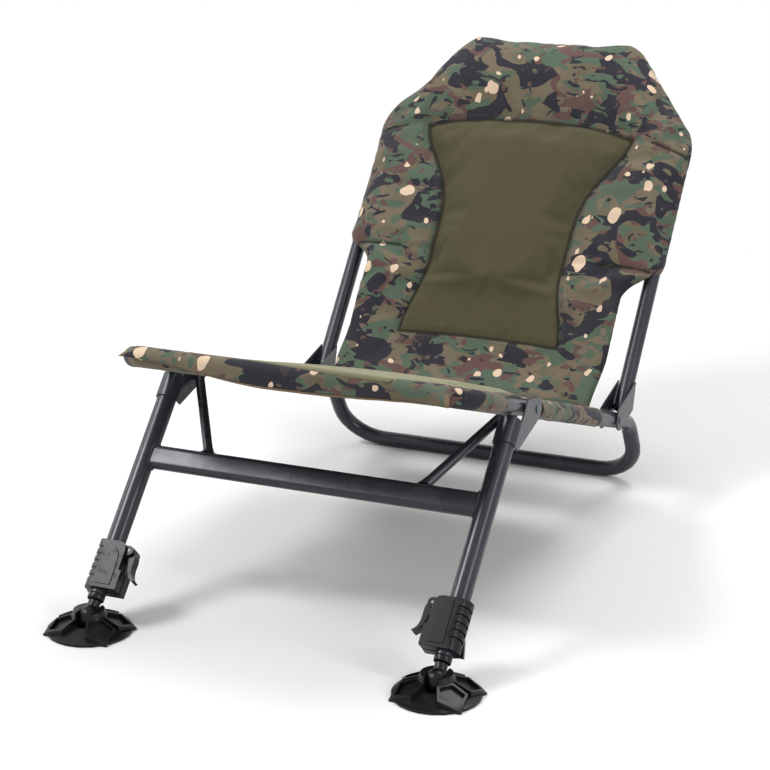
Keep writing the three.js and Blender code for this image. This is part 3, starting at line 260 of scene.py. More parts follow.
def flecks(cloth, turn, shift, size, stretch, radius, share):
    """Where pale drops lie: one in some of the cells, each its own size."""
    point = cloth.place(turn, stretch, shift)
    sockets = {"Vector": point, "Scale": 2.6 / size, "Detail": 0.0}
    bent = cloth.node("TexNoise", sockets, 1)
    offset = cloth.node("VectorMath", {0: bent, 3: size * 0.26}, operation="SCALE")
    moved = cloth.node("VectorMath", {0: point, 1: offset}, operation="ADD")
    sockets = {"Vector": moved, "Scale": 1 / size}
    cells = cloth.node("TexVoronoi", sockets, "Distance")
    kind = cloth.node("TexVoronoi", sockets, "Color")
    chosen = cloth.node("SeparateColor", {0: kind}, 0)
    wide = cloth.node("SeparateColor", {0: kind}, 1)
    inside = (radius * (0.45 + wide * 0.55) - cells).between(0.0, 0.015)
    return inside * chosen.between(1 - share, 1 - share + SHARP)


def with_seam_shade(cloth, colour):
    """The cloth's colour, with painted shade as a dark line where a seam is drawn in."""
    return cloth.blend(cloth.painted("seam").between(0.78, 1.0) * 0.85, colour, SEAM_SHADE)


def printed_cloth(name, turn):
    cloth = Finish(name, Sheen_Weight=0.12, Sheen_Roughness=0.4, Specular_IOR_Level=0.16)
    tone = cloth.noise(cloth.place(turn), 0.09, 3.0)
    colour = cloth.blend(tone.between(0.35, 0.7), GROUND, SHADE)
    screens = [
        (MOSS, (3.1, 0.0, 1.7), 0.044, (0.75, 1.0, 1.25), 0.51),
        (BARK, (0.4, 5.2, 2.9), 0.042, (0.7, 1.0, 1.2), 0.56),
        (GROUND, (4.4, 6.1, 8.3), 0.034, (0.7, 1.0, 1.3), 0.6),
        (SLATE, (7.3, 2.2, 0.6), 0.046, (0.8, 1.0, 1.15), 0.545),
        (MOSS, (1.9, 8.4, 4.1), 0.028, (0.75, 1.0, 1.4), 0.61),
        (BARK, (8.8, 1.3, 5.2), 0.02, (0.9, 1.0, 1.3), 0.65),
        (SLATE, (5.6, 0.9, 7.7), 0.017, (0.7, 1.0, 1.4), 0.635),
    ]
    for ink, *screen in screens:
        colour = cloth.blend(layer(cloth, turn, *screen), colour, ink)
    drops = [
        ((2.0, 1.0, 3.0), 0.045, (1.1, 1.0, 0.75), 0.27, 0.42),
        ((6.0, 4.0, 1.0), 0.027, (1.0, 1.0, 0.7), 0.26, 0.34),
        ((9.0, 3.0, 5.0), 0.015, (1.0, 1.0, 0.8), 0.22, 0.12),
    ]
    for drop in drops:
        colour = cloth.blend(flecks(cloth, turn, *drop), colour, FLECK)
    threads = weave(cloth, turn, 0.0011)
    grime = cloth.noise(cloth.place(turn), 0.14, 4.0, 0.6)
    worn = cloth.blend(grime.between(0.45, 0.8) * 0.18, colour, tint(88, 84, 70))
    # Painted shade: the cloth is darker where the weave is low, in the gaps between its threads.
    woven = cloth.blend((1 - threads) * 0.12, worn, tint(44, 42, 36))
    return cloth.done(with_seam_shade(cloth, woven), 0.72 + grime * 0.12, threads, 0.00018, 0.5)


# %% [markdown]
# ## Olive cloth
# The middle panels are a heavier woven cloth of one colour. Thicker and thinner yarns show as
# faint streaks across it, and single pale fibres as specks. The seat's copy is painted lighter,
# as painted light on its upward face.

# %% Olive panel cloth
def olive_cloth(name, turn, dark, light, sheen):
    cloth = Finish(name, Sheen_Weight=sheen, Sheen_Roughness=0.45, Specular_IOR_Level=0.12)
    cloth.set("Sheen Tint", tint(214, 212, 184))
    across = cloth.noise(cloth.place(turn, (0.06, 1.0, 1.0)), 0.0016, 2.0, 0.6)
    along = cloth.noise(cloth.place(turn, (1.0, 1.0, 0.06)), 0.0016, 2.0, 0.6)
    cloudy = cloth.noise(cloth.place(turn), 0.11, 3.0)
    colour = cloth.blend(across * 0.6 + 0.2, dark, light)
    colour = cloth.blend(along.between(0.35, 0.75) * 0.4, colour, dark)
    colour = cloth.blend(cloudy.between(0.4, 0.7) * 0.3, colour, light)
    specks = cloth.noise(cloth.place(turn), 0.0022, 1.0).between(0.72, 0.76)
    flecked = cloth.blend(specks * 0.35, colour, tint(132, 127, 98))
    relief = weave(cloth, turn, 0.0014) + across * 0.5
    return cloth.done(with_seam_shade(cloth, flecked), 0.78 + across * 0.1, relief, 0.00022, 0.5)


RAIL_SLOPE = math.radians(19.4)
BACK_TILT = math.radians(40)
LEG_TILT = math.radians(44.3)
seat_print = printed_cloth("printed cloth of the seat", RAIL_SLOPE)
back_print = printed_cloth("printed cloth of the back", BACK_TILT)
# Painted light: the seat's olive is lighter than the back's, for the light on its upward face.
seat_olive_painted_lit = olive_cloth(
    "olive cloth of the seat painted lighter", RAIL_SLOPE, tint(84, 82, 58), tint(112, 109, 82), 0.7)
back_olive = olive_cloth(
    "olive cloth of the back", BACK_TILT, tint(68, 64, 46), tint(84, 80, 60), 0.25)


def thread_finish():
    thread = Finish("thread", Sheen_Weight=0.3)
    twist = thread.noise(thread.place(), 0.0008, 1.0)
    colour = thread.blend(twist, tint(50, 47, 38), tint(84, 80, 62))
    return thread.done(colour, 0.6 + twist * 0.2, twist, 0.0001, 0.5)


def binding_cloth():
    tape = Finish("binding tape", Sheen_Weight=0.3, Sheen_Roughness=0.4, Specular_IOR_Level=0.25)
    ribs = weave(tape, RAIL_SLOPE, 0.0009)
    worn = tape.noise(tape.place(), 0.02, 3.0, 0.6)
    colour = tape.blend(worn, tint(96, 78, 56), tint(126, 106, 80))
    return tape.done(colour, 0.7 + worn * 0.15, ribs, 0.00015, 0.5)


thread = thread_finish()
binding = binding_cloth()
sling_print = printed_cloth("printed cloth of the sling", RAIL_SLOPE)
print("cloths:", seat_print.name, back_print.name, seat_olive_painted_lit.name, back_olive.name, binding.name)

# %% [markdown]
# ## Finishing the hard parts
# The tubes, plates, clamps and feet have their real shape already, so they keep their mesh and
# get a finish. A narrow bevel, added as a modifier, rounds their edges so that they catch light.

# %% Finishes and soft edges of the hard parts
HARD_FINISHES = (
    (clamp_black, 0.0009, ("clamp_body", "clamp_lever", "plug", "stud")),
    (foot_black, 0.0014, ("foot",)),
    (plated, 0.0003, ("bolt", "nut", "pin")),
    (coated, 0.0004, ("tube", "leg", "bracket")),
)
SHARP_EDGE = math.radians(38)


def dress(name, finish, edge):
    obj = nodes[name]
    obj.data.materials.clear()
    obj.data.materials.append(finish)
    weld = obj.modifiers.new("weld", "WELD")
    weld.merge_threshold = 0.00001
    bevel = obj.modifiers.new("edges", "BEVEL")
    bevel.width = edge
    bevel.segments = 2
    bevel.limit_method = "ANGLE"
    bevel.angle_limit = SHARP_EDGE
    for face in obj.data.polygons:
        face.use_smooth = True
    normals = obj.modifiers.new("normals", "WEIGHTED_NORMAL")
    normals.keep_sharp = True


for name in nodes:
    for finish, edge, words in HARD_FINISHES:
        if any(word in name for word in words):
            dress(name, finish, edge)
            break

# %% [markdown]
# ## Places on the chair
# The seat is laid out in the rail's own directions and the back in its own, in millimetres, as
# a pattern cutter would draw them. These helpers turn such a place into a point of the model.

# %% From the seat's and the back's own axes to the model
PIVOT = Vector((0, -0.213951, 0.259))
HINGE = Vector((0, 0.136927, 0.135436))


def placer(origin, tilt):
    turn = Matrix.Rotation(-tilt, 3, "X")
    return lambda x, along, above: origin + turn @ Vector((x, along, above)) / 1000


on_rail = placer(PIVOT, RAIL_SLOPE)
on_back = placer(HINGE, BACK_TILT)
on_leg = placer(PIVOT, LEG_TILT)


def step(value, low, high):
    """0 at low, 1 at high and smooth between."""
    share = min(max((value - low) / (high - low), 0), 1)
    return share * share * (3 - 2 * share)


def mix(low, high, share):
    return low + (high - low) * share


def even(start, end, count):
    return [start + (end - start) * i / count for i in range(count + 1)]


print("seat front at", [round(v, 3) for v in on_rail(0, -209, 0)])

# %% [markdown]
# ## How a pad is made
# A pad is two sheets of cloth sewn together round their edge, with foam between them. Its front
# and rear start as two grids that share their rim. The seams are rows of the grid that are
# pinned, then a cloth simulation blows the rest up a little, so that the cloth swells between
# the seams and pulls into folds beside them. The result is applied, so nothing is left running.

# %% Two grids sewn at the rim
def join_grids(work, front, rear, finish_of=lambda i, j: 0):
    """Adds two sheets, from rows of points, that share the rim of the front one.

    finish_of(row, column) picks the finish of a face of the front.
    """
    last, end = len(front) - 1, len(front[0]) - 1
    near = [[work.verts.new(point) for point in row] for row in front]
    far = [
        [near[i][j] if i in (0, last) or j in (0, end) else work.verts.new(point)
         for j, point in enumerate(row)]
        for i, row in enumerate(rear)
    ]
    for i in range(last):
        for j in range(end):
            for sheet in (near, far):
                corners = [sheet[i][j], sheet[i][j + 1], sheet[i + 1][j + 1], sheet[i + 1][j]]
                face = work.faces.new(corners if sheet is near else corners[::-1])
                face.material_index = finish_of(i, j) if sheet is near else 0
                face.smooth = True
    bmesh.ops.recalc_face_normals(work, faces=work.faces)
    return near, far


def sewn_grids(name, front, rear, finish_of, finishes):
    """A closed pad, then the index of each point of its front and of its rear."""
    work = bmesh.new()
    sheets = join_grids(work, front, rear, finish_of)
    work.verts.index_update()
    near, far = ([[vert.index for vert in row] for row in sheet] for sheet in sheets)
    obj = add_mesh(name, work, finishes)
    # The seam attribute holds where painted shade darkens the cloth along a seam.
    obj.data.attributes.new("seam", "FLOAT", "POINT")
    return obj, near, far


def add_mesh(name, work, finishes):
    mesh = bpy.data.meshes.new(name)
    work.to_mesh(mesh)
    work.free()
    for finish in finishes:
        mesh.materials.append(finish)
    obj = bpy.data.objects.new(name, mesh)
    bpy.context.scene.collection.objects.link(obj)
    return obj


# %% Blowing a pad up between its seams
SIM_FRAMES = 20


def stuff(obj, pinned, pressure, most, spare):
    """Swells the pad. No point moves further than most, and spare is the extra cloth."""
    group = obj.vertex_groups.new(name="seams")
    for index, weight in pinned.items():
        group.add([index], weight, "REPLACE")
    cloth = obj.modifiers.new("cloth", "CLOTH")
    settings = cloth.settings
    settings.vertex_group_mass = "seams"
    settings.use_pressure = True
    settings.uniform_pressure_force = pressure
    settings.shrink_min = -spare
    settings.quality = 5
    settings.tension_stiffness = 12
    settings.compression_stiffness = 12
    settings.shear_stiffness = 4
    settings.bending_stiffness = 0.25
    settings.effector_weights.gravity = 0
    cloth.collision_settings.use_collision = False
    for number in range(SIM_FRAMES):
        bpy.context.scene.frame_set(number + 1)
    blown = obj.evaluated_get(bpy.context.evaluated_depsgraph_get()).data
    ends = [vert.co.copy() for vert in blown.vertices]
    obj.modifiers.remove(cloth)
    bpy.context.scene.frame_set(1)
    furthest = 0
    for vert, end in zip(obj.data.vertices, ends):
        move = end - vert.co
        if move.length > most:
            move *= most / move.length
        furthest = max(furthest, move.length)
        vert.co += move
    obj.vertex_groups.clear()
    print(obj.name, "swelled by up to", round(furthest * 1000, 1), "mm")


# %% Seams, puckers and the last smoothing
FOLD_PITCH = 9


def nearness(places, seams, reach):
    """How near each point of a sheet is to a seam, 1 on it and 0 reach points away."""
    near = {}
    for i, j in seams:
        for down in range(-reach, reach + 1):
            for across in range(-reach, reach + 1):
                place = (i + down, j + across)
                if 0 <= place[0] < len(places) and 0 <= place[1] < len(places[0]):
                    value = max(1 - math.hypot(down, across) / reach, 0)
                    near[place] = max(near.get(place, 0), value)
    return near


def mark_seam_shade(obj, places, near):
    """Stores the nearness on the mesh, where the cloth's colour reads it to paint shade along the
    seam.
    """
    seam = obj.data.attributes["seam"].data
    for (i, j), value in near.items():
        seam[places[i][j]].value = value


def pucker(obj, places, near, along, depth):
    """Small folds that run off the seams. along(i, j) is the distance travelled down the seam."""
    normals = [vert.normal.copy() for vert in obj.data.vertices]
    for (i, j), value in near.items():
        if 0 < value < 1:
            fold = noise.noise(Vector((along(i, j) / FOLD_PITCH, i * 0.11, j * 0.07)))
            index = places[i][j]
            obj.data.vertices[index].co += normals[index] * depth * fold * math.sin(math.pi * value)


def smooth_out(obj):
    bpy.ops.object.select_all(action="DESELECT")
    bpy.context.view_layer.objects.active = obj
    obj.select_set(True)
    rounder = obj.modifiers.new("rounder", "SUBSURF")
    rounder.levels = 1
    rounder.render_levels = 1
    bpy.ops.object.modifier_apply(modifier=rounder.name)
    print(obj.name, len(obj.data.polygons), "faces")


# %% Cloth never goes into a tube
def keep_outside(obj, line, radius):
    """Moves points that are too near to a line out to radius millimetres from it."""
    moved = 0
    for vert in obj.data.vertices:
        best = None
        for start, end in zip(line, line[1:]):
            run = end - start
            share = min(max((vert.co - start).dot(run) / run.length_squared, 0), 1)
            off = vert.co - (start + run * share)
            if best is None or off.length < best.length:
                best = off
        if best.length < radius / 1000:
            vert.co += best.normalized() * (radius / 1000 - best.length)
            moved += 1
    print(obj.name, moved, "points moved out of a tube")


# %% Stitches
STITCH_PITCH = 0.0032
STITCH_SHARE = 0.34
STITCH_HALF_WIDE = 0.0005
STITCH_SUNK = 0.0003
STITCH_PROUD = 0.0006
STITCH_TAPER = 0.6


def stitches(name, cloth, line, body):
    """A row of thread on the cloth, along a line of points that is carried onto its surface."""
    work = bmesh.new()
    left = 0.0
    for start, end in zip(line, line[1:]):
        length = (end - start).length
        while left < length:
            _, place, normal, _ = cloth.closest_point_on_mesh(start.lerp(end, left / length))
            left += STITCH_PITCH
            along = (end - start).normalized() * STITCH_PITCH * STITCH_SHARE
            across = normal.cross(along).normalized() * STITCH_HALF_WIDE
            signs = ((-1, -1), (1, -1), (1, 1), (-1, 1))
            low = [place + along * a + across * b for a, b in signs]
            base = [work.verts.new(point - normal * STITCH_SUNK) for point in low]
            high = [place.lerp(point, STITCH_TAPER) + normal * STITCH_PROUD for point in low]
            lid = [work.verts.new(point) for point in high]
            work.faces.new(lid)
            work.faces.new(base[::-1])
            for k in range(4):
                work.faces.new([base[k], base[(k + 1) % 4], lid[(k + 1) % 4], lid[k]])
        left -= length
    bmesh.ops.recalc_face_normals(work, faces=work.faces)
    obj = add_mesh(name, work, [thread])
    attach(obj, body)
    print(name, len(obj.data.polygons) // 6, "stitches")


# %% [markdown]
# ## Back pad
# The back hangs between the two tubes. Its upper half is a sleeve over the whole top of the
# frame, its wings wrap the tubes, and below them it is narrower and hangs free in front. An
# olive panel with curved sides is let into its face, and seams run from its corners and its
# waist out to the pad's edge.

# %% Outline and thickness of the back pad, in millimetres up the back from its hinge
TRACK = 460
BACK_SET = 33
BACK_LENGTH = 594
SHOULDER_HEIGHT = 456
SHOULDER_BEND = 52
TOP_HALF = 123
BACK_TUBE_RADIUS = 11
PAD_FOOT = 17
PAD_FOOT_HALF = 190
PAD_HALF = 199
PAD_WRAP = 14
PAD_TOP = BACK_LENGTH + PAD_WRAP
WING_FOOT = 206
WING_RISE = 258
RIGHT_WING_DROP = 20
PANEL_FOOT = 101
PANEL_TOP = 447
PANEL_FOOT_HALF = 122
PANEL_WAIST_HALF = 102
PANEL_WAIST = 210
PANEL_TOP_HALF = 161
PANEL_CURVE = 3.4
WAIST_SEAM = 234
PANEL_ARC = 14
PANEL_FOOT_ARC = 4
PANEL_CORNER_FALL = 5
OUTER_FALL = 17
BORDER_PUFF = 9
PUFF_REACH = 14
PUFF_RIM = 45
PUFF_SPAN = (90, 260)
FOOT_SET_BACK = 7
SET_BACK_SPAN = (60, 190)
FOOT_FLARE = 14
FLARE_SPAN = (30, 105)
THIN_EDGE = 9
THIN_FORWARD = 23
FACE_FORWARD = 25


def tube_half(z, wrap=0):
    """Half width over the bent top of the back tube, wrap millimetres outside its axis."""
    slant = math.atan2(TRACK / 2 - TOP_HALF, BACK_LENGTH - SHOULDER_HEIGHT)
    radius = SHOULDER_BEND + wrap
    low_x = TRACK / 2 - SHOULDER_BEND
    low_z = SHOULDER_HEIGHT - SHOULDER_BEND * math.tan(slant / 2)
    if z <= low_z:
        return TRACK / 2 + wrap
    if z <= low_z + radius * math.sin(slant):
        return low_x + math.sqrt(radius ** 2 - (z - low_z) ** 2)
    high_x = TOP_HALF - SHOULDER_BEND * math.tan((math.pi / 2 - slant) / 2)
    high_z = BACK_LENGTH - SHOULDER_BEND
    if z >= high_z + radius * math.sin(slant):
        return high_x + math.sqrt(max(radius ** 2 - (z - high_z) ** 2, 0))
    return TRACK / 2 - (z - SHOULDER_HEIGHT) * math.tan(slant) + wrap / math.cos(slant)


def back_half(z, side=1):
    """Half width of the pad. The foot flares at the left, and the right wing starts lower."""
    low = mix(PAD_FOOT_HALF, PAD_HALF, step(z, PAD_FOOT, PANEL_FOOT))
    if side < 0:
        low += FOOT_FLARE * (1 - step(z, *FLARE_SPAN))
    wing_foot = WING_FOOT if side < 0 else WING_FOOT - RIGHT_WING_DROP
    wide = mix(low, TRACK / 2 + PAD_WRAP, step(z, wing_foot, WING_RISE))
    return min(wide, tube_half(z, PAD_WRAP))


def panel_half(z):
    """Half width of the olive panel, which is narrowest at its waist."""
    low = mix(PANEL_FOOT_HALF, PANEL_WAIST_HALF, step(z, PANEL_FOOT, PANEL_WAIST))
    return mix(low, PANEL_TOP_HALF, step(z, WING_FOOT, PANEL_TOP) ** PANEL_CURVE)


def panel_arch(x):
    """How far the panel's upper edge rises above PANEL_TOP."""
    return PANEL_ARC * (1 - (x / PANEL_TOP_HALF) ** 2)


def rounded(depth, radius):
    """Height of a round edge, 0 at the rim and 1 a radius in."""
    share = min(max(depth / radius, 0), 1)
    return math.sqrt(1 - (1 - share) ** 2)


def back_face(x, z):
    """How far the front and the rear of the pad are behind the hinge, at one place."""
    winged = step(z, WING_FOOT, WING_RISE)
    middle = BACK_SET - mix(THIN_FORWARD, 0, winged)
    edge = mix(THIN_EDGE, PAD_WRAP, winged)
    depth = min(back_half(z, x) - abs(x), PAD_TOP - z, (z - PAD_FOOT) * 1.2)
    rim = rounded(depth, edge)
    crown = step(depth, 0, 70) * mix(1, step(PAD_TOP - z, 0, 150), 0.6)
    face = mix(middle - edge * rim, BACK_SET - FACE_FORWARD, crown)
    rear = middle + mix(THIN_EDGE, edge, step(abs(x), 175, 215)) * rim
    return face, rear


print("back pad half widths:", [round(back_half(z)) for z in (31, 150, 300, 500, 600)])

# %% Axis of the back tube
def back_tube_line():
    """Up the left tube, over the bent top and down the right one."""
    heights = even(0, SHOULDER_HEIGHT - 30, 4) + even(SHOULDER_HEIGHT - 26, BACK_LENGTH, 60)
    side = [(tube_half(z), z) for z in heights]
    points = [(-x, z) for x, z in side] + [(x, z) for x, z in reversed(side)]
    return [on_back(x, BACK_SET, z) for x, z in points]


print("back tube's axis:", len(back_tube_line()), "points")

# %% The back pad's grids and seams
INNER_STEPS = 17
OUTER_STEPS = 16
rows = (
    [PAD_FOOT + THIN_EDGE * (1 - math.cos(math.pi / 2 * k / 4)) for k in range(4)]
    + even(PAD_FOOT + THIN_EDGE, PANEL_FOOT, 11)
    + even(PANEL_FOOT, WAIST_SEAM, 18)[1:]
    + even(WAIST_SEAM, PANEL_TOP, 28)[1:]
    + even(PANEL_TOP, PAD_TOP - PAD_WRAP, 18)[1:]
    + [PAD_TOP - PAD_WRAP * (1 - math.sin(math.pi / 2 * k / 5)) for k in range(1, 6)]
)
FOOT_ROW, WAIST_ROW, TOP_ROW = [rows.index(z) for z in (PANEL_FOOT, WAIST_SEAM, PANEL_TOP)]
COLUMNS = 2 * (INNER_STEPS + OUTER_STEPS) + 1
MIDDLE = COLUMNS // 2
LEFT_SEAM, RIGHT_SEAM = MIDDLE - INNER_STEPS, MIDDLE + INNER_STEPS


def back_place(z, column):
    """Across and up the pad. The panel's ends are arched, and seams fall outward beside it."""
    steps = abs(column - MIDDLE)
    inner = min(steps / INNER_STEPS, 1)
    outer = math.sin(math.pi / 2 * max(steps - INNER_STEPS, 0) / OUTER_STEPS)
    top_bell = math.exp(-(((z - PANEL_TOP) / 62) ** 2)) * step(PAD_TOP - z, 0, 60)
    foot_bell = math.exp(-(((z - PANEL_FOOT) / 38) ** 2)) * step(z - PAD_FOOT, 0, 40)
    arc = PANEL_ARC * (1 - inner ** 2) - PANEL_CORNER_FALL * inner ** 4 - OUTER_FALL * outer
    z += top_bell * arc + PANEL_FOOT_ARC * foot_bell * (1 - inner ** 2)
    half = back_half(z, column - MIDDLE)
    seam = min(panel_half(z), half - 30)
    x = seam * inner + (half - seam) * outer
    return math.copysign(x, column - MIDDLE), z


def is_border(i, j):
    return not (FOOT_ROW <= i < TOP_ROW and LEFT_SEAM <= j < RIGHT_SEAM)


front, rear = [], []
for row in rows:
    front.append([])
    rear.append([])
    for column in range(COLUMNS):
        x, z = back_place(row, column)
        near, far = back_face(x, z)
        outside = max(abs(x) - panel_half(z), z - PANEL_TOP - panel_arch(x), PANEL_FOOT - z, 0)
        inside = min(back_half(z, x) - abs(x), PAD_TOP - z, z - PAD_FOOT)
        puff = BORDER_PUFF * (1 - math.exp(-outside / PUFF_REACH))
        near -= puff * rounded(inside, PUFF_RIM) * step(z, *PUFF_SPAN)
        near += FOOT_SET_BACK * (1 - step(z, *SET_BACK_SPAN))
        front[-1].append(on_back(x, near, z))
        rear[-1].append(on_back(x, far, z))
back_pad, back_at, back_rear_at = sewn_grids(
    "back_cushion", front, rear,
    lambda i, j: 0 if is_border(i, j) else 1,
    [back_print, back_olive],
)
print("back pad:", len(rows), "rows,", COLUMNS, "columns")

# %% Sinking the seams of the back pad and swelling it
SEAM_SINK = 0.007
BACK_CLEARANCE = 1.4
COLUMN_WIDE = 9.0
HELD = 0.8
into_back = (on_back(0, 1000, 0) - on_back(0, 0, 0)).normalized()
panel_seams = [(i, j) for i in range(FOOT_ROW, TOP_ROW + 1) for j in (LEFT_SEAM, RIGHT_SEAM)]
panel_seams += [(i, j) for i in (FOOT_ROW, TOP_ROW) for j in range(LEFT_SEAM, RIGHT_SEAM + 1)]
outer_columns = [*range(2, LEFT_SEAM), *range(RIGHT_SEAM + 1, COLUMNS - 2)]
outer_seams = [(i, j) for i in (WAIST_ROW, TOP_ROW) for j in outer_columns]

pins = {}
for i in range(len(rows)):
    for j in range(COLUMNS):
        rim = i in (0, len(rows) - 1) or j in (0, COLUMNS - 1)
        pins[back_at[i][j]] = 1.0 if rim else HELD * (1 - step(rows[i], 90, 220))
        if not rim:
            pins[back_rear_at[i][j]] = HELD
for seams, sink in ((panel_seams, SEAM_SINK), (outer_seams, SEAM_SINK * 0.5)):
    for i, j in set(seams):
        index = back_at[i][j]
        pins[index] = 1.0
        share = 0.5 if i == FOOT_ROW else 1
        back_pad.data.vertices[index].co += into_back * sink * share
stuff(back_pad, pins, pressure=4.5, most=0.014, spare=0.03)


def down_panel(i, j):
    """Distance travelled along the panel's seams, in millimetres."""
    return rows[i] if FOOT_ROW < i < TOP_ROW else j * COLUMN_WIDE


panel_near = nearness(back_at, panel_seams, 3)
pucker(back_pad, back_at, panel_near, down_panel, 0.0022)
wide_near = nearness(back_at, panel_seams, 8)
border = {place: value for place, value in wide_near.items() if is_border(*place)}
pucker(back_pad, back_at, border, lambda i, j: 0.4 * down_panel(i, j), 0.0045)
outer_near = nearness(back_at, outer_seams, 3)
pucker(back_pad, back_at, outer_near, lambda i, j: j * COLUMN_WIDE, 0.003)
# The nearness to the seams sets where painted shade darkens the cloth.
for near in (outer_near, panel_near):
    mark_seam_shade(back_pad, back_at, near)
keep_outside(back_pad, back_tube_line(), BACK_TUBE_RADIUS + BACK_CLEARANCE)
smooth_out(back_pad)
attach(back_pad, "back_frame")
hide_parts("back_pad")

# %% Thread round the olive panel
STITCH_INSET = -3.4
STITCH_FOOT_HALF = 124


def panel_line(inset):
    """The panel's outline, drawn in by inset, up its right side, over the top and down."""
    heights = even(PANEL_FOOT + inset, PANEL_TOP - inset, 40)
    right_side = [(panel_half(z) - inset, z) for z in heights]
    left_side = [(-x, z) for x, z in reversed(right_side)]
    top_half, foot_half = right_side[-1][0], right_side[0][0]
    top_side = [(x, PANEL_TOP - inset + panel_arch(x)) for x in even(top_half, -top_half, 24)]
    foot_side = [
        (x, PANEL_FOOT + inset + PANEL_FOOT_ARC * (1 - (x / STITCH_FOOT_HALF) ** 2))
        for x in even(-foot_half, foot_half, 20)
    ]
    return [on_back(x, 0, z) for x, z in right_side + top_side + left_side + foot_side]


stitches("back_stitches", back_pad, panel_line(STITCH_INSET), "back_frame")

# %% [markdown]
# ## Seat pad
# The seat pad lies between the side rails on a stretched sheet, and wraps the front cross tube.
# Its front hem hangs below the tube and runs out to a point at each side. The top is olive, with
# a printed border, and a narrow brown binding closes the hem.

# %% Section of the seat pad, in millimetres along the rail from the leg pivot
RAIL_FRONT = 209
SLEEVE_RADIUS = 12.7
SLEEVE_POINT = 20
SLEEVE_TURN = math.acos(SLEEVE_RADIUS / SLEEVE_POINT)
SEAT_REAR = 346
SEAT_HALF = 204
FRONT_BEND = 55
SLEEVE_FRONT_END = -103
HEM_ROWS = 5
NOSE_ROWS = 12
TUBE_ROWS = HEM_ROWS + NOSE_ROWS
SEAM_STEP = 6
SEAT_SEAM_REAR = 290
SEAT_HEIGHTS = [
    (-209, 13.7), (-180, 12.2), (-150, 11), (-60, 13.5), (40, 17.5),
    (150, 20.5), (250, 20), (300, 16), (335, 9), (346, 4),
]
HEM_DROP = 20
NOSE_REACH = 15
TIP_DROP = (2, 13)
TIP_REACH = 26
TIP_OUT = 13
TIP_SPAN = 30
LINE_STEP = 3.5


def straight_line(side, start, end):
    """Along one side rail, as (place, inward direction) pairs."""
    inward = Vector((-side, 0, 0))
    places = even(start, end, round(abs(end - start) / LINE_STEP))
    return [(on_rail(side * TRACK / 2, along, 0), inward) for along in places]


def half_line(side):
    """Forward along one side rail and round its front corner."""
    line = straight_line(side, SLEEVE_FRONT_END, FRONT_BEND - RAIL_FRONT)
    centre = Vector((side * (TRACK / 2 - FRONT_BEND), FRONT_BEND - RAIL_FRONT))
    for angle in even(0, math.pi / 2, 24)[1:]:
        turned = Vector((side * math.cos(angle), -math.sin(angle)))
        place = centre + turned * FRONT_BEND
        inward = on_rail(-turned.x, -turned.y, 0) - on_rail(0, 0, 0)
        line.append((on_rail(place.x, place.y, 0), inward))
    return line


def front_line():
    """Forward along the left rail, across the front tube and back along the right rail."""
    rearward = on_rail(0, 1, 0) - on_rail(0, 0, 0)
    across = even(FRONT_BEND - TRACK / 2, TRACK / 2 - FRONT_BEND, 100)[1:-1]
    middle = [(on_rail(x, -RAIL_FRONT, 0), rearward) for x in across]
    line = half_line(-1) + middle + half_line(1)[::-1]
    return [(place, inward.normalized()) for place, inward in line]


def seat_top(along):
    """Height of the seat's middle above the rail's axis, before it swells."""
    for (start, low), (end, high) in zip(SEAT_HEIGHTS, SEAT_HEIGHTS[1:]):
        if along <= end:
            return mix(low, high, (along - start) / (end - start))
    return SEAT_HEIGHTS[-1][1]


def sleeve_height(inward, extra):
    """Height of the sleeve's drop shaped section, at a distance from the rail's axis."""
    if inward <= SLEEVE_RADIUS * math.cos(SLEEVE_TURN):
        return math.sqrt((SLEEVE_RADIUS + extra) ** 2 - inward ** 2)
    return max((SLEEVE_POINT - inward) / math.tan(SLEEVE_TURN), 0) + extra


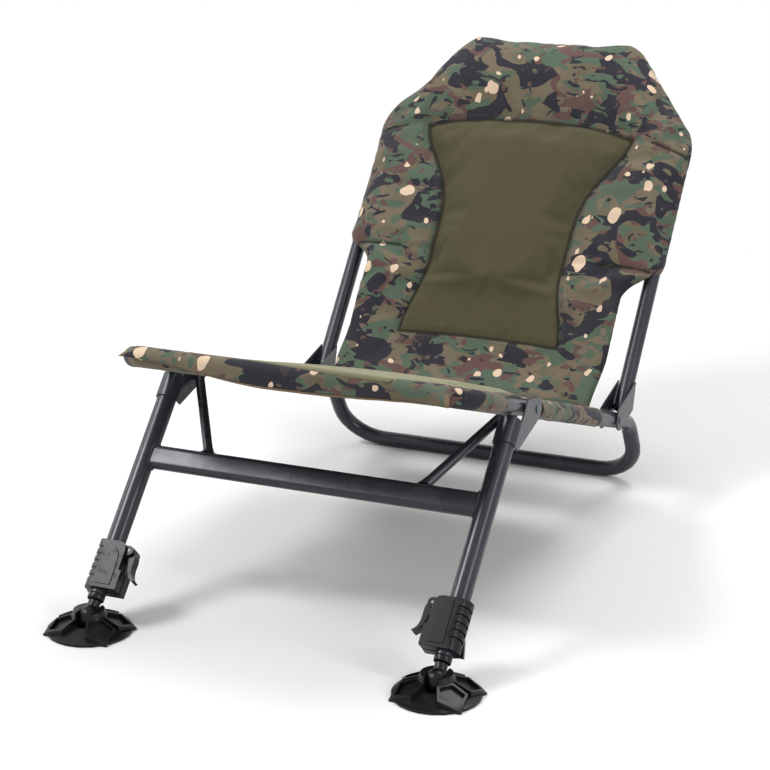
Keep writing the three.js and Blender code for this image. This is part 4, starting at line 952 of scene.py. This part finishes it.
def seat_paths(share):
    """Outer and inner path across one section, from the hem over the tube to the rear edge.

    Each point is (outward, along, above). Towards the sides the nose is drawn out to a point.
    """
    side = abs(share)
    inward = (1 - side) * SEAT_HALF
    low_tip = TIP_DROP[0] if share < 0 else TIP_DROP[1]
    pulled = 1 - min(inward / TIP_SPAN, 1)
    pinch = pulled ** 2.6
    drop = mix(HEM_DROP, low_tip, step(side, 0.1, 1.0))
    nose = mix(NOSE_REACH, TIP_REACH, side ** 7)
    round_bend = max(side * SEAT_HALF - TRACK / 2 + FRONT_BEND, 0)
    lag = FRONT_BEND - math.sqrt(FRONT_BEND ** 2 - round_bend ** 2)
    inner_nose = SLEEVE_RADIUS + 0.5
    over = SLEEVE_RADIUS + 1.0
    outer, inner = [], []
    for k in range(HEM_ROWS):
        share_up = k / HEM_ROWS
        h = mix(mix(-drop, -1, share_up), -low_tip, pinch)
        outer.append((TIP_OUT * pulled, -RAIL_FRONT - mix(nose - 2, nose, share_up), h))
        inner.append((TIP_OUT * pulled, -RAIL_FRONT - inner_nose, h))
    seam_up = mix(0.93, 0.34, step(share, -0.5, 0.6))
    for k in range(NOSE_ROWS):
        if k < SEAM_STEP:
            share_up = mix(0, seam_up, k / SEAM_STEP)
        else:
            share_up = mix(seam_up, 1, (k - SEAM_STEP) / (NOSE_ROWS - 1 - SEAM_STEP))
        turned = math.pi / 2 * share_up
        round_place = (nose * math.cos(turned), over * math.sin(turned))
        flat_place = (nose * (1 - share_up), mix(-low_tip, over, share_up))
        ahead, h = (mix(a, b, pinch) for a, b in zip(round_place, flat_place))
        out = TIP_OUT * pulled * (1 - share_up) ** 0.55
        outer.append((out, -RAIL_FRONT - ahead, h))
        inner.append((
            out, -RAIL_FRONT - inner_nose * math.cos(turned), inner_nose * math.sin(turned)))
    flap = 1 - rounded(inward, 12)
    for k in range(TUBE_ROWS):
        joined = flap * (1 - step(k, TUBE_ROWS - 5, TUBE_ROWS))
        inner[k] = tuple(mix(a, b, joined * 0.95) for a, b in zip(inner[k], outer[k]))
    bottom = mix(1.4, 2.4, side ** 3)
    rim = rounded(inward, 9)
    for along in even(-RAIL_FRONT, SEAT_REAR, 78)[1:]:
        behind = max(along + RAIL_FRONT - lag, 0)
        swell = seat_top(along) * mix(1, 1 - 0.62 * side ** 2.5, step(behind, 10, 60))
        low = max(bottom, sleeve_height(behind, 0.5) if behind < SLEEVE_POINT + 2 else 0)
        inner.append((0, along, low))
        thick = max(swell - low, 1) * rounded(SEAT_REAR - along, 12)
        outer.append((0, along, low + thick * rim))
    return outer, inner


seat_shares = [share * (1.3 - 0.3 * share * share) for share in even(-1, 1, 72)]
top_grid, under_grid = [], []
for share in seat_shares:
    for grid, path in zip((top_grid, under_grid), seat_paths(share)):
        grid.append([
            on_rail(share * SEAT_HALF + math.copysign(out, share), along, above)
            for out, along, above in path
        ])
SEAT_LONG = len(top_grid[0])
SEAT_WIDE = len(seat_shares)
along_places = [point[1] for point in seat_paths(0)[0]]
FRONT_SEAM = HEM_ROWS + SEAM_STEP
REAR_SEAM = min(
    range(TUBE_ROWS, SEAT_LONG), key=lambda j: abs(along_places[j] - SEAT_SEAM_REAR))
SIDE_SEAM = min(range(SEAT_WIDE), key=lambda i: abs(seat_shares[i] + 0.67))
OTHER_SEAM = SEAT_WIDE - 1 - SIDE_SEAM


def seat_finish(i, j):
    """0 for the print, 1 for the olive panel and 2 for the binding along the hem and sides."""
    if j < 1 or i < 2 or i > SEAT_WIDE - 4:
        return 2
    return int(SIDE_SEAM <= i < OTHER_SEAM and FRONT_SEAM <= j < REAR_SEAM)


seat_pad, seat_at, seat_rear_at = sewn_grids(
    "seat_cushion", top_grid, under_grid, seat_finish, [seat_print, seat_olive_painted_lit, binding])
print("seat pad:", SEAT_WIDE, "by", SEAT_LONG, "points")

# %% Sinking the seams of the seat pad and swelling it
SEAT_CLEARANCE = 0.4
SECTION_STEP = 6.5
below = (on_rail(0, 0, -1000) - on_rail(0, 0, 0)).normalized()
seat_seams = [(i, j) for i in (SIDE_SEAM, OTHER_SEAM) for j in range(FRONT_SEAM, REAR_SEAM + 1)]
seat_seams += [(i, j) for j in (FRONT_SEAM, REAR_SEAM) for i in range(SIDE_SEAM, OTHER_SEAM + 1)]
hem_seam = [(i, 1) for i in range(SEAT_WIDE)]
pins = {}
for i in range(SEAT_WIDE):
    for j in range(SEAT_LONG):
        rim = i in (0, SEAT_WIDE - 1) or j in (0, SEAT_LONG - 1)
        front_part = 0.9 * (1 - step(j, TUBE_ROWS, TUBE_ROWS + 10))
        flat_part = HELD * step(abs(seat_shares[i]), 0.75, 0.97)
        held = 1.0 if rim or (i, j) in hem_seam else max(front_part, flat_part)
        pins[seat_at[i][j]] = held
        if not rim:
            pins[seat_rear_at[i][j]] = 1.0
for i, j in set(seat_seams):
    pins[seat_at[i][j]] = 1.0
    sink = 0.0016 if j > TUBE_ROWS else 0.0007
    seat_pad.data.vertices[seat_at[i][j]].co += below * sink
stuff(seat_pad, pins, pressure=1.6, most=0.0042, spare=0.012)


def round_panel(i, j):
    """Distance travelled along the seat's seams, in millimetres."""
    return j * 7.0 if FRONT_SEAM < j < REAR_SEAM else i * SECTION_STEP


# The nearness to the seams and the hem sets where painted shade darkens the cloth.
for seams, along, depth in (
    (seat_seams, round_panel, 0.0009),
    (hem_seam, lambda i, j: i * SECTION_STEP, 0.0012),
):
    near = nearness(seat_at, seams, 2)
    mark_seam_shade(seat_pad, seat_at, near)
    pucker(seat_pad, seat_at, near, along, depth)
front_tube_line = [place for place, _ in front_line()]
keep_outside(seat_pad, front_tube_line, SLEEVE_RADIUS + SEAT_CLEARANCE)
smooth_out(seat_pad)
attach(seat_pad, "seat_frame")
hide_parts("seat_pad")

# %% [markdown]
# ## Sling under the seat
# The pad lies on a sheet of the same print, stretched between the rails. Its edges are sewn into
# sleeves that go round the front tube and the rear part of each side tube. A sleeve's section is
# a drop: round over the tube, and drawn to a point where its two layers meet the sheet.

# %% Sleeves along the rails
SLEEVE_REAR_START = 31
SLEEVE_REAR_END = 292
SLEEVE_INSIDE = 0.0009
SLEEVE_SIDES = 28
SLING_TUCK = SLEEVE_POINT - 3
SLING_NOTCH = 27
SLING_HALF_THICK = 0.5


def drop_section():
    """Points round a sleeve, as (inward, up), from its inward point and over the top."""
    points = []
    for k in range(SLEEVE_SIDES):
        angle = math.pi * 2 * k / SLEEVE_SIDES
        from_point = min(angle, 2 * math.pi - angle)
        radius = SLEEVE_RADIUS / math.cos(max(SLEEVE_TURN - from_point, 0))
        points.append((radius * math.cos(angle), radius * math.sin(angle)))
    return points


def add_sleeve(work, line):
    """A cloth tube along a line of (place, inward direction) pairs, with a hem at each end."""
    upward = (on_rail(0, 0, 1000) - on_rail(0, 0, 0)).normalized()
    section = drop_section()
    travelled = 0.0
    rings = []
    for number, (place, inward) in enumerate(line):
        travelled += (place - line[max(number - 1, 0)][0]).length * 1000
        from_end = min(number, len(line) - 1 - number)
        ring = []
        for k, (u, v) in enumerate(section):
            around = (2.4 * math.cos(k * 0.224), 2.4 * math.sin(k * 0.224))
            slack = noise.noise(Vector((travelled / 26, *around)))
            creased = noise.noise(Vector((travelled / 7, k * 0.12, 9)))
            hem = 0.5 if from_end == 2 else 0
            grow = 1 + (0.5 * max(slack, -0.3) + 0.35 * creased - hem) / SLEEVE_RADIUS
            ring.append(place + (inward * u * grow + upward * v * grow) / 1000)
        rings.append(ring)
    inner = [
        [place + (inward * u + upward * v) * SLEEVE_INSIDE for u, v in section]
        for place, inward in line
    ]
    verts = [[work.verts.new(point) for point in ring] for ring in rings + inner[::-1]]
    for low, high in zip(verts, verts[1:] + verts[:1]):
        for k in range(SLEEVE_SIDES):
            after = (k + 1) % SLEEVE_SIDES
            work.faces.new([low[k], low[after], high[after], high[k]]).smooth = True


work = bmesh.new()
add_sleeve(work, front_line())
for side in (-1, 1):
    add_sleeve(work, straight_line(side, SLEEVE_REAR_START, SLEEVE_REAR_END))
print("sleeves:", len(work.verts), "points")

# %% The stretched sheet
def sling_half(along):
    """Half width of the sheet: into the sleeves, and drawn in where the rails are bare."""
    past_front, past_rear = (
        step(along, end - 4, end + 4) for end in (SLEEVE_FRONT_END, SLEEVE_REAR_START))
    half = TRACK / 2 - mix(SLING_TUCK, SLING_NOTCH, past_front - past_rear)
    behind = along + RAIL_FRONT
    if behind < FRONT_BEND:
        square = (FRONT_BEND - SLING_TUCK) ** 2 - (FRONT_BEND - behind) ** 2
        half = min(half, TRACK / 2 - FRONT_BEND + math.sqrt(max(square, 0)))
    return half


layers = []
for lift in (SLING_HALF_THICK, -SLING_HALF_THICK):
    grid = []
    for along in even(SLING_TUCK - RAIL_FRONT, SLEEVE_REAR_END - 1, 120):
        half = sling_half(along)
        grid.append([])
        for share in even(-1, 1, 90):
            x = share * half
            wave = 0.5 * noise.noise(Vector((x / 60, along / 25, 4)))
            sag = 0.9 * (1 - share * share) + wave * (1 - abs(share))
            grid[-1].append(on_rail(x, along, lift - sag))
    layers.append(grid)
join_grids(work, *layers)
cloth_area = sum(face.calc_area() for face in work.faces) / 2
sling = add_mesh("seat_sling_cloth", work, [sling_print])
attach(sling, "seat_frame")
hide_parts("seat_sling")

# %% [markdown]
# ## Weld beads
# The cross bar is welded to the legs and the struts to the cross bar. A weld is a row of small
# overlapping drops of metal, under the same paint.

# %% Beads round the welded joints
LEG_SET = 39.4
LEG_RADIUS = 12.5
CROSSBAR_DROP = 153.3
CROSSBAR_DEEP = 32
CROSSBAR_THIN = 16
BEAD_PROUD = 0.6
STRUT_FOOT_IN = 83
STRUT_RING = (8.9, 7.6)


def bar_outline(count):
    """Points round the flat oval cross bar, as (along Y, up), evenly spaced."""
    radius = CROSSBAR_THIN / 2 + BEAD_PROUD
    flat = CROSSBAR_DEEP - CROSSBAR_THIN
    half = flat + math.pi * radius
    for k in range(count):
        side, place = 1, 2 * half * k / count
        if place >= half:
            side, place = -1, place - half
        angle = max(place - flat, 0) / radius
        up = min(place, flat) - flat / 2 + radius * math.sin(angle)
        yield side * radius * math.cos(angle), side * up


def bead_places():
    """Where each drop of metal lies, and its size in millimetres."""
    for side in (-1, 1):
        for y, up in bar_outline(38):
            x = TRACK / 2 - math.sqrt(max(LEG_RADIUS ** 2 - y ** 2, 0)) - 0.4
            yield on_leg(side * x, y - LEG_SET, up - CROSSBAR_DROP), random.uniform(1.5, 1.9)
        for angle in even(0, 2 * math.pi, 18)[:-1]:
            x, y = STRUT_RING[0] * math.cos(angle), STRUT_RING[1] * math.sin(angle)
            rounding = 8 * (1 - math.sqrt(max(1 - (y / 8.4) ** 2, 0)))
            foot = CROSSBAR_DEEP / 2 - CROSSBAR_DROP - rounding
            x = side * (TRACK / 2 - STRUT_FOOT_IN + x)
            yield on_leg(x, y - LEG_SET, foot), random.uniform(1.1, 1.5)


bpy.ops.object.select_all(action="DESELECT")
for place, size in bead_places():
    bpy.ops.mesh.primitive_ico_sphere_add(subdivisions=2, radius=size / 1000, location=place)
    if bpy.context.mode == "OBJECT":
        beads = bpy.context.object
        bpy.ops.object.mode_set(mode="EDIT")
bpy.ops.object.mode_set(mode="OBJECT")
bpy.ops.object.transform_apply(location=True, rotation=True, scale=True)
bpy.ops.object.shade_smooth()
beads.name = "weld_beads"
beads.data.materials.append(coated)
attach(beads, "leg_frame")
print("weld beads:", len(beads.data.polygons), "faces")

# %% [markdown]
# ## Stage and light
# A pale floor that fades into a white surround, and soft lamps, as in a product studio. Two tall
# narrow lamps draw the pale streaks down the tubes. The world is white where the camera or a
# reflection shows it, and dimmer where it only gives light.

# %% Floor
def floor_finish():
    floor = Finish("floor", Specular_IOR_Level=0.05)
    floor.set("Base Color", (0.92, 0.92, 0.92, 1))
    floor.set("Roughness", 0.95)
    from_middle = floor.node("VectorMath", {0: floor.place()}, 1, operation="LENGTH")
    floor.set("Alpha", from_middle.between(1.7, 0.9))
    return floor.material


bpy.ops.object.select_all(action="DESELECT")
bpy.ops.mesh.primitive_plane_add(size=4, location=(0, 0, -0.0005))
floor = bpy.context.object
floor.name = "floor"
floor.data.materials.append(floor_finish())

# %% World and lamps
world = bpy.data.worlds.new("studio")
bpy.context.scene.world = world
world.use_nodes = True
WORLD_LIGHT = 0.42
links = world.node_tree.links
world_nodes = world.node_tree.nodes
background = world_nodes["Background"]
background.inputs["Color"].default_value = (1, 1, 1, 1)
rays = world_nodes.new("ShaderNodeLightPath")
level = world_nodes.new("ShaderNodeMapRange")
level.inputs["To Min"].default_value = WORLD_LIGHT
level.inputs["To Max"].default_value = 1.0
seen = rays.outputs["Is Camera Ray"]
for mirrored in ("Is Glossy Ray", "Is Transmission Ray"):
    either = world_nodes.new("ShaderNodeMath")
    either.operation = "ADD"
    either.use_clamp = True
    links.new(seen, either.inputs[0])
    links.new(rays.outputs[mirrored], either.inputs[1])
    seen = either.outputs["Value"]
links.new(seen, level.inputs["Value"])
links.new(level.outputs["Result"], background.inputs["Strength"])


def lamp(name, place, aim, width, height, power):
    data = bpy.data.lights.new(name, "AREA")
    data.shape = "RECTANGLE"
    data.size = width
    data.size_y = height
    data.energy = power
    obj = bpy.data.objects.new(name, data)
    obj.location = place
    obj.rotation_euler = (Vector(aim) - Vector(place)).to_track_quat("-Z", "Y").to_euler()
    bpy.context.scene.collection.objects.link(obj)


lamp("key", (-1.9, -1.5, 2.8), (0, 0, 0.3), 1.2, 1.0, 66)
lamp("top", (0.5, 1.2, 3.0), (0, 0, 0.3), 1.8, 1.2, 46)
lamp("left strip", (-2.6, -0.2, 1.1), (0, -0.1, 0.3), 0.18, 2.2, 12)
lamp("right strip", (2.4, -0.9, 1.1), (0, -0.1, 0.3), 0.2, 2.2, 26)
bpy.context.scene.view_settings.view_transform = "Standard"
